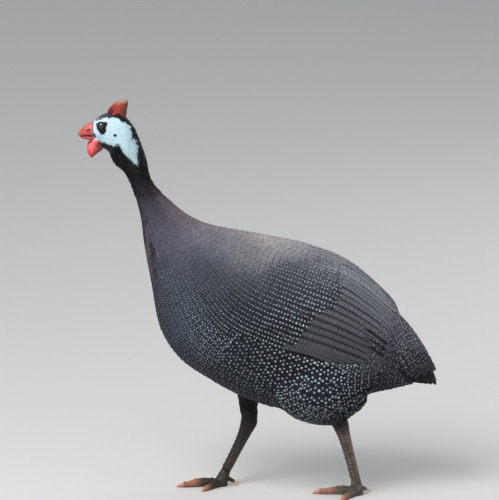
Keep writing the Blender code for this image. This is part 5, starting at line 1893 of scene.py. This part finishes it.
def build_pimples():
    """The pimpled grain of bare skin, as a height."""
    tree, inside, out = new_group(
        "pimples", [("Size", "NodeSocketFloat", 1400.0)], [("Height", "NodeSocketFloat", 0.0)],
    )
    place = add(tree, "ShaderNodeTexCoord")
    cells = add(tree, "ShaderNodeTexVoronoi", {"Vector": place.outputs["Object"], "Scale": inside.outputs[0]})
    grains = add(tree, "ShaderNodeTexNoise", {"Vector": place.outputs["Object"], "Scale": inside.outputs[0],
                                              "Detail": 3.0})
    rounded = maths(tree, "SUBTRACT", 1.0, cells.outputs["Distance"])
    tree.links.new(maths(tree, "ADD", rounded, grains.outputs[0]), out.inputs["Height"])
    return tree


def build_weathering():
    """A colour made a little uneven."""
    tree, inside, out = new_group(
        "weathering",
        [("Color", "NodeSocketColor", (0.5, 0.5, 0.5, 1.0)), ("Scale", "NodeSocketFloat", 60.0),
         ("Amount", "NodeSocketFloat", 0.25), ("Shade", "NodeSocketFloat", 1.0)],
        [("Color", "NodeSocketColor", None)],
    )
    place = add(tree, "ShaderNodeTexCoord")
    clouds = add(tree, "ShaderNodeTexNoise", {"Vector": place.outputs["Object"],
                                              "Scale": inside.outputs["Scale"], "Detail": 4.0})
    centred = maths(tree, "MULTIPLY", maths(tree, "SUBTRACT", clouds.outputs[0], 0.5), 2.0)
    swing = maths(tree, "MULTIPLY", centred, inside.outputs["Amount"])
    light = maths(tree, "MULTIPLY", maths(tree, "ADD", swing, 1.0), inside.outputs["Shade"])
    scaled = add(tree, "ShaderNodeVectorMath", {0: inside.outputs["Color"]}, operation="SCALE")
    tree.links.new(light, scaled.inputs["Scale"])
    tree.links.new(scaled.outputs[0], out.inputs["Color"])
    return tree


barbs = build_barbs()
pimples = build_pimples()
weathering = build_weathering()
print("node groups:", [tree.name for tree in (barbs, pimples, weathering)])

# %% [markdown]
# ## The materials
# Each material reads the colours that the pieces carry, sends them through the weathering group, and
# takes its bumps from barbs or pimples. Feathers are dull, horn and legs have a slight gloss, and the eye
# is wet.

# %% Make helpers for the materials
def new_material(name, roughness, **settings):
    """A material whose shader has set values. Returns the material, its tree and its shader."""
    material = bpy.data.materials.new(name)
    material.use_nodes = True
    tree = material.node_tree
    shader = tree.nodes["Principled BSDF"]
    shader.inputs["Roughness"].default_value = roughness
    for key, value in settings.items():
        shader.inputs[key.replace("_", " ")].default_value = value
    return material, tree, shader


def group_node(tree, group, inputs):
    """A node group placed in a material."""
    return add(tree, "ShaderNodeGroup", inputs, node_tree=group)


def own_colour(tree):
    """The colours that a piece carries."""
    return add(tree, "ShaderNodeAttribute", attribute_name="plume").outputs["Color"]


def weathered(tree, shader, colour, **inputs):
    """Feeds a colour to a shader through the weathering."""
    worn = group_node(tree, weathering, {"Color": colour, **inputs})
    tree.links.new(worn.outputs[0], shader.inputs["Base Color"])


def bump(tree, shader, height, strength, distance):
    """Feeds a height to a shader as a bump. The distance is in mm."""
    node = add(tree, "ShaderNodeBump", {"Height": height, "Strength": strength, "Distance": distance * MM})
    tree.links.new(node.outputs[0], shader.inputs["Normal"])


def feather_material(name, strength, count, depth, **settings):
    """Feathers of one kind."""
    material, tree, shader = new_material(name, 0.62, **settings)
    lines = group_node(tree, barbs, {"Barbs": count, "Strength": strength})
    weathered(tree, shader, own_colour(tree), Scale=40.0, Amount=0.3, Shade=lines.outputs["Shade"])
    bump(tree, shader, lines.outputs["Height"], 0.5, depth)
    return material


def skin_material(name, roughness, size, amount, depth, **settings):
    """Bare skin, horn or scales."""
    material, tree, shader = new_material(name, roughness, **settings)
    grains = group_node(tree, pimples, {"Size": size})
    weathered(tree, shader, own_colour(tree), Scale=size / 5.0, Amount=amount)
    bump(tree, shader, grains.outputs["Height"], 0.6, depth)
    return material


print("material helpers:", [helper.__name__ for helper in (feather_material, skin_material)])

# %% [markdown]
# ## One material for each finish
# A feather's barbs differ with its kind: coarse and few on a contour feather, fine and many on a flight
# feather. Skin, horn and scales differ in gloss, in the size of their grain and in how uneven they are.

# %% Build the materials
vane_material = feather_material("contour_feather", 0.22, 12.0, 0.10, Specular_IOR_Level=0.15)
flight_material = feather_material("flight_feather", 0.14, 60.0, 0.12, Specular_IOR_Level=0.2)
bristle_material = feather_material("bristle", 0.1, 3.0, 0.05, Specular_IOR_Level=0.12)
spot_material = skin_material("feather_spot", 0.7, 1500.0, 0.15, 0.03, Specular_IOR_Level=0.2)
bare_material = skin_material("bare_skin", 0.55, 1300.0, 0.16, 0.22, Specular_IOR_Level=0.25)
red_material = skin_material("red_skin", 0.42, 1100.0, 0.22, 0.3)
bill_material = skin_material("bill_horn", 0.34, 700.0, 0.2, 0.08)
casque_material = skin_material("casque_horn", 0.5, 600.0, 0.35, 0.3, Specular_IOR_Level=0.25)
leg_material = skin_material("leg_scales", 0.55, 900.0, 0.3, 0.1, Specular_IOR_Level=0.25)
claw_material, claw_tree, claw_shader = new_material("claw_horn", 0.4)
weathered(claw_tree, claw_shader, (*display(188, 128, 100), 1.0), Scale=300.0, Amount=0.4)
eye_material, eye_tree, eye_shader = new_material("wet_eye", 0.08, Coat_Weight=1.0, Coat_Roughness=0.03)
weathered(eye_tree, eye_shader, own_colour(eye_tree), Scale=900.0, Amount=0.3)
print("materials:", len(bpy.data.materials))

# %% [markdown]
# ## Dressing the solids
# Every new piece gets its material, hides the solids it stands for, and rides on the one body of the
# bird. The claws' solids are good as they are and only take the new finish.

# %% Give each piece its place
dressed = []


def dress(item, material, slot, *stands_for):
    """Finishes a piece and places it on the bird."""
    dressed.append(item.name)
    item.data.materials.clear()
    item.data.materials.append(material)
    if stands_for:
        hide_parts(*stands_for)
    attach(item, "root")


STANDS_FOR = {"tertials_l": ["wing_l"], "tertials_r": ["wing_r"], "tail_feathers": ["tail"]}
FLIGHT_WORDS = ("tertials", "secondaries", "primaries", "tips", "tail")
dress(skin, bare_material, "pale_skin", "head", "neck", "torso", "thigh_l", "thigh_r")
for item in coat:
    if "spots" in item.name or "bars" in item.name:
        material = spot_material
    elif item.name == "bristles":
        material = bristle_material
    elif any(word in item.name for word in FLIGHT_WORDS):
        material = flight_material
    else:
        material = vane_material
    slot = "neck_plumage" if item.name in ("neck_feathers", "bristles") else "plumage"
    dress(item, material, slot, *STANDS_FOR.get(item.name, []))
for item, node in zip(bill_pieces, ("bill_upper", "bill_lower")):
    dress(item, bill_material, "red_skin", node)
dress(casque, casque_material, "casque_horn", "casque")
for side_name, eye, lid, wattle in zip(("l", "r"), eyes, lids, wattles):
    dress(eye, eye_material, "eye_dark", f"eye_{side_name}")
    dress(lid, bare_material, "pale_skin")
    dress(wattle, red_material, "red_skin", f"wattle_{side_name}")
for item, node in leg_pieces:
    dress(item, leg_material, "leg_skin", node)
for name, item in nodes.items():
    if name.startswith("claw"):
        item.material_slots[0].material = claw_material
bpy.data.objects.remove(body_form)
print("dressed pieces:", len(dressed))

# %% [markdown]
# ## Floor and light
# The bird stands on a plain pale floor in soft light, as in a museum. A large lamp stands over the left
# shoulder, a weaker one fills the far side, and the sky lights the rest.

# %% Light the stage
FLOOR_SIZE = 16.0
FLOOR_COLOUR = (0.62, 0.60, 0.57, 1.0)
SKY_COLOUR = (0.86, 0.92, 1.0, 1.0)
SKY_STRENGTH = 0.55
LAMP_AIM = Vector((0.0, 0.0, 0.25))

bpy.ops.mesh.primitive_plane_add(size=FLOOR_SIZE)
floor = bpy.context.object
floor.name = "floor"
floor_material, _, floor_shader = new_material("floor", 0.8)
floor_shader.inputs["Base Color"].default_value = FLOOR_COLOUR
floor.data.materials.append(floor_material)

world = bpy.data.worlds.new("sky")
bpy.context.scene.world = world
world.use_nodes = True
sky = world.node_tree.nodes["Background"]
sky.inputs["Color"].default_value = SKY_COLOUR
sky.inputs["Strength"].default_value = SKY_STRENGTH


def add_lamp(name, place, size, power):
    """A square lamp that looks at the bird. Its place and size are in metres."""
    lamp = bpy.data.lights.new(name, "AREA")
    lamp.size = size
    lamp.energy = power
    item = linked(name, lamp)
    item.location = place
    item.rotation_euler = (Vector(place) - LAMP_AIM).to_track_quat("Z", "Y").to_euler()


add_lamp("key", (-0.9, -1.3, 1.9), 1.3, 52.0)
add_lamp("fill", (1.4, 1.2, 1.2), 1.6, 14.0)
bpy.context.scene.view_settings.view_transform = "Standard"
print("lamps:", len(bpy.data.lights))
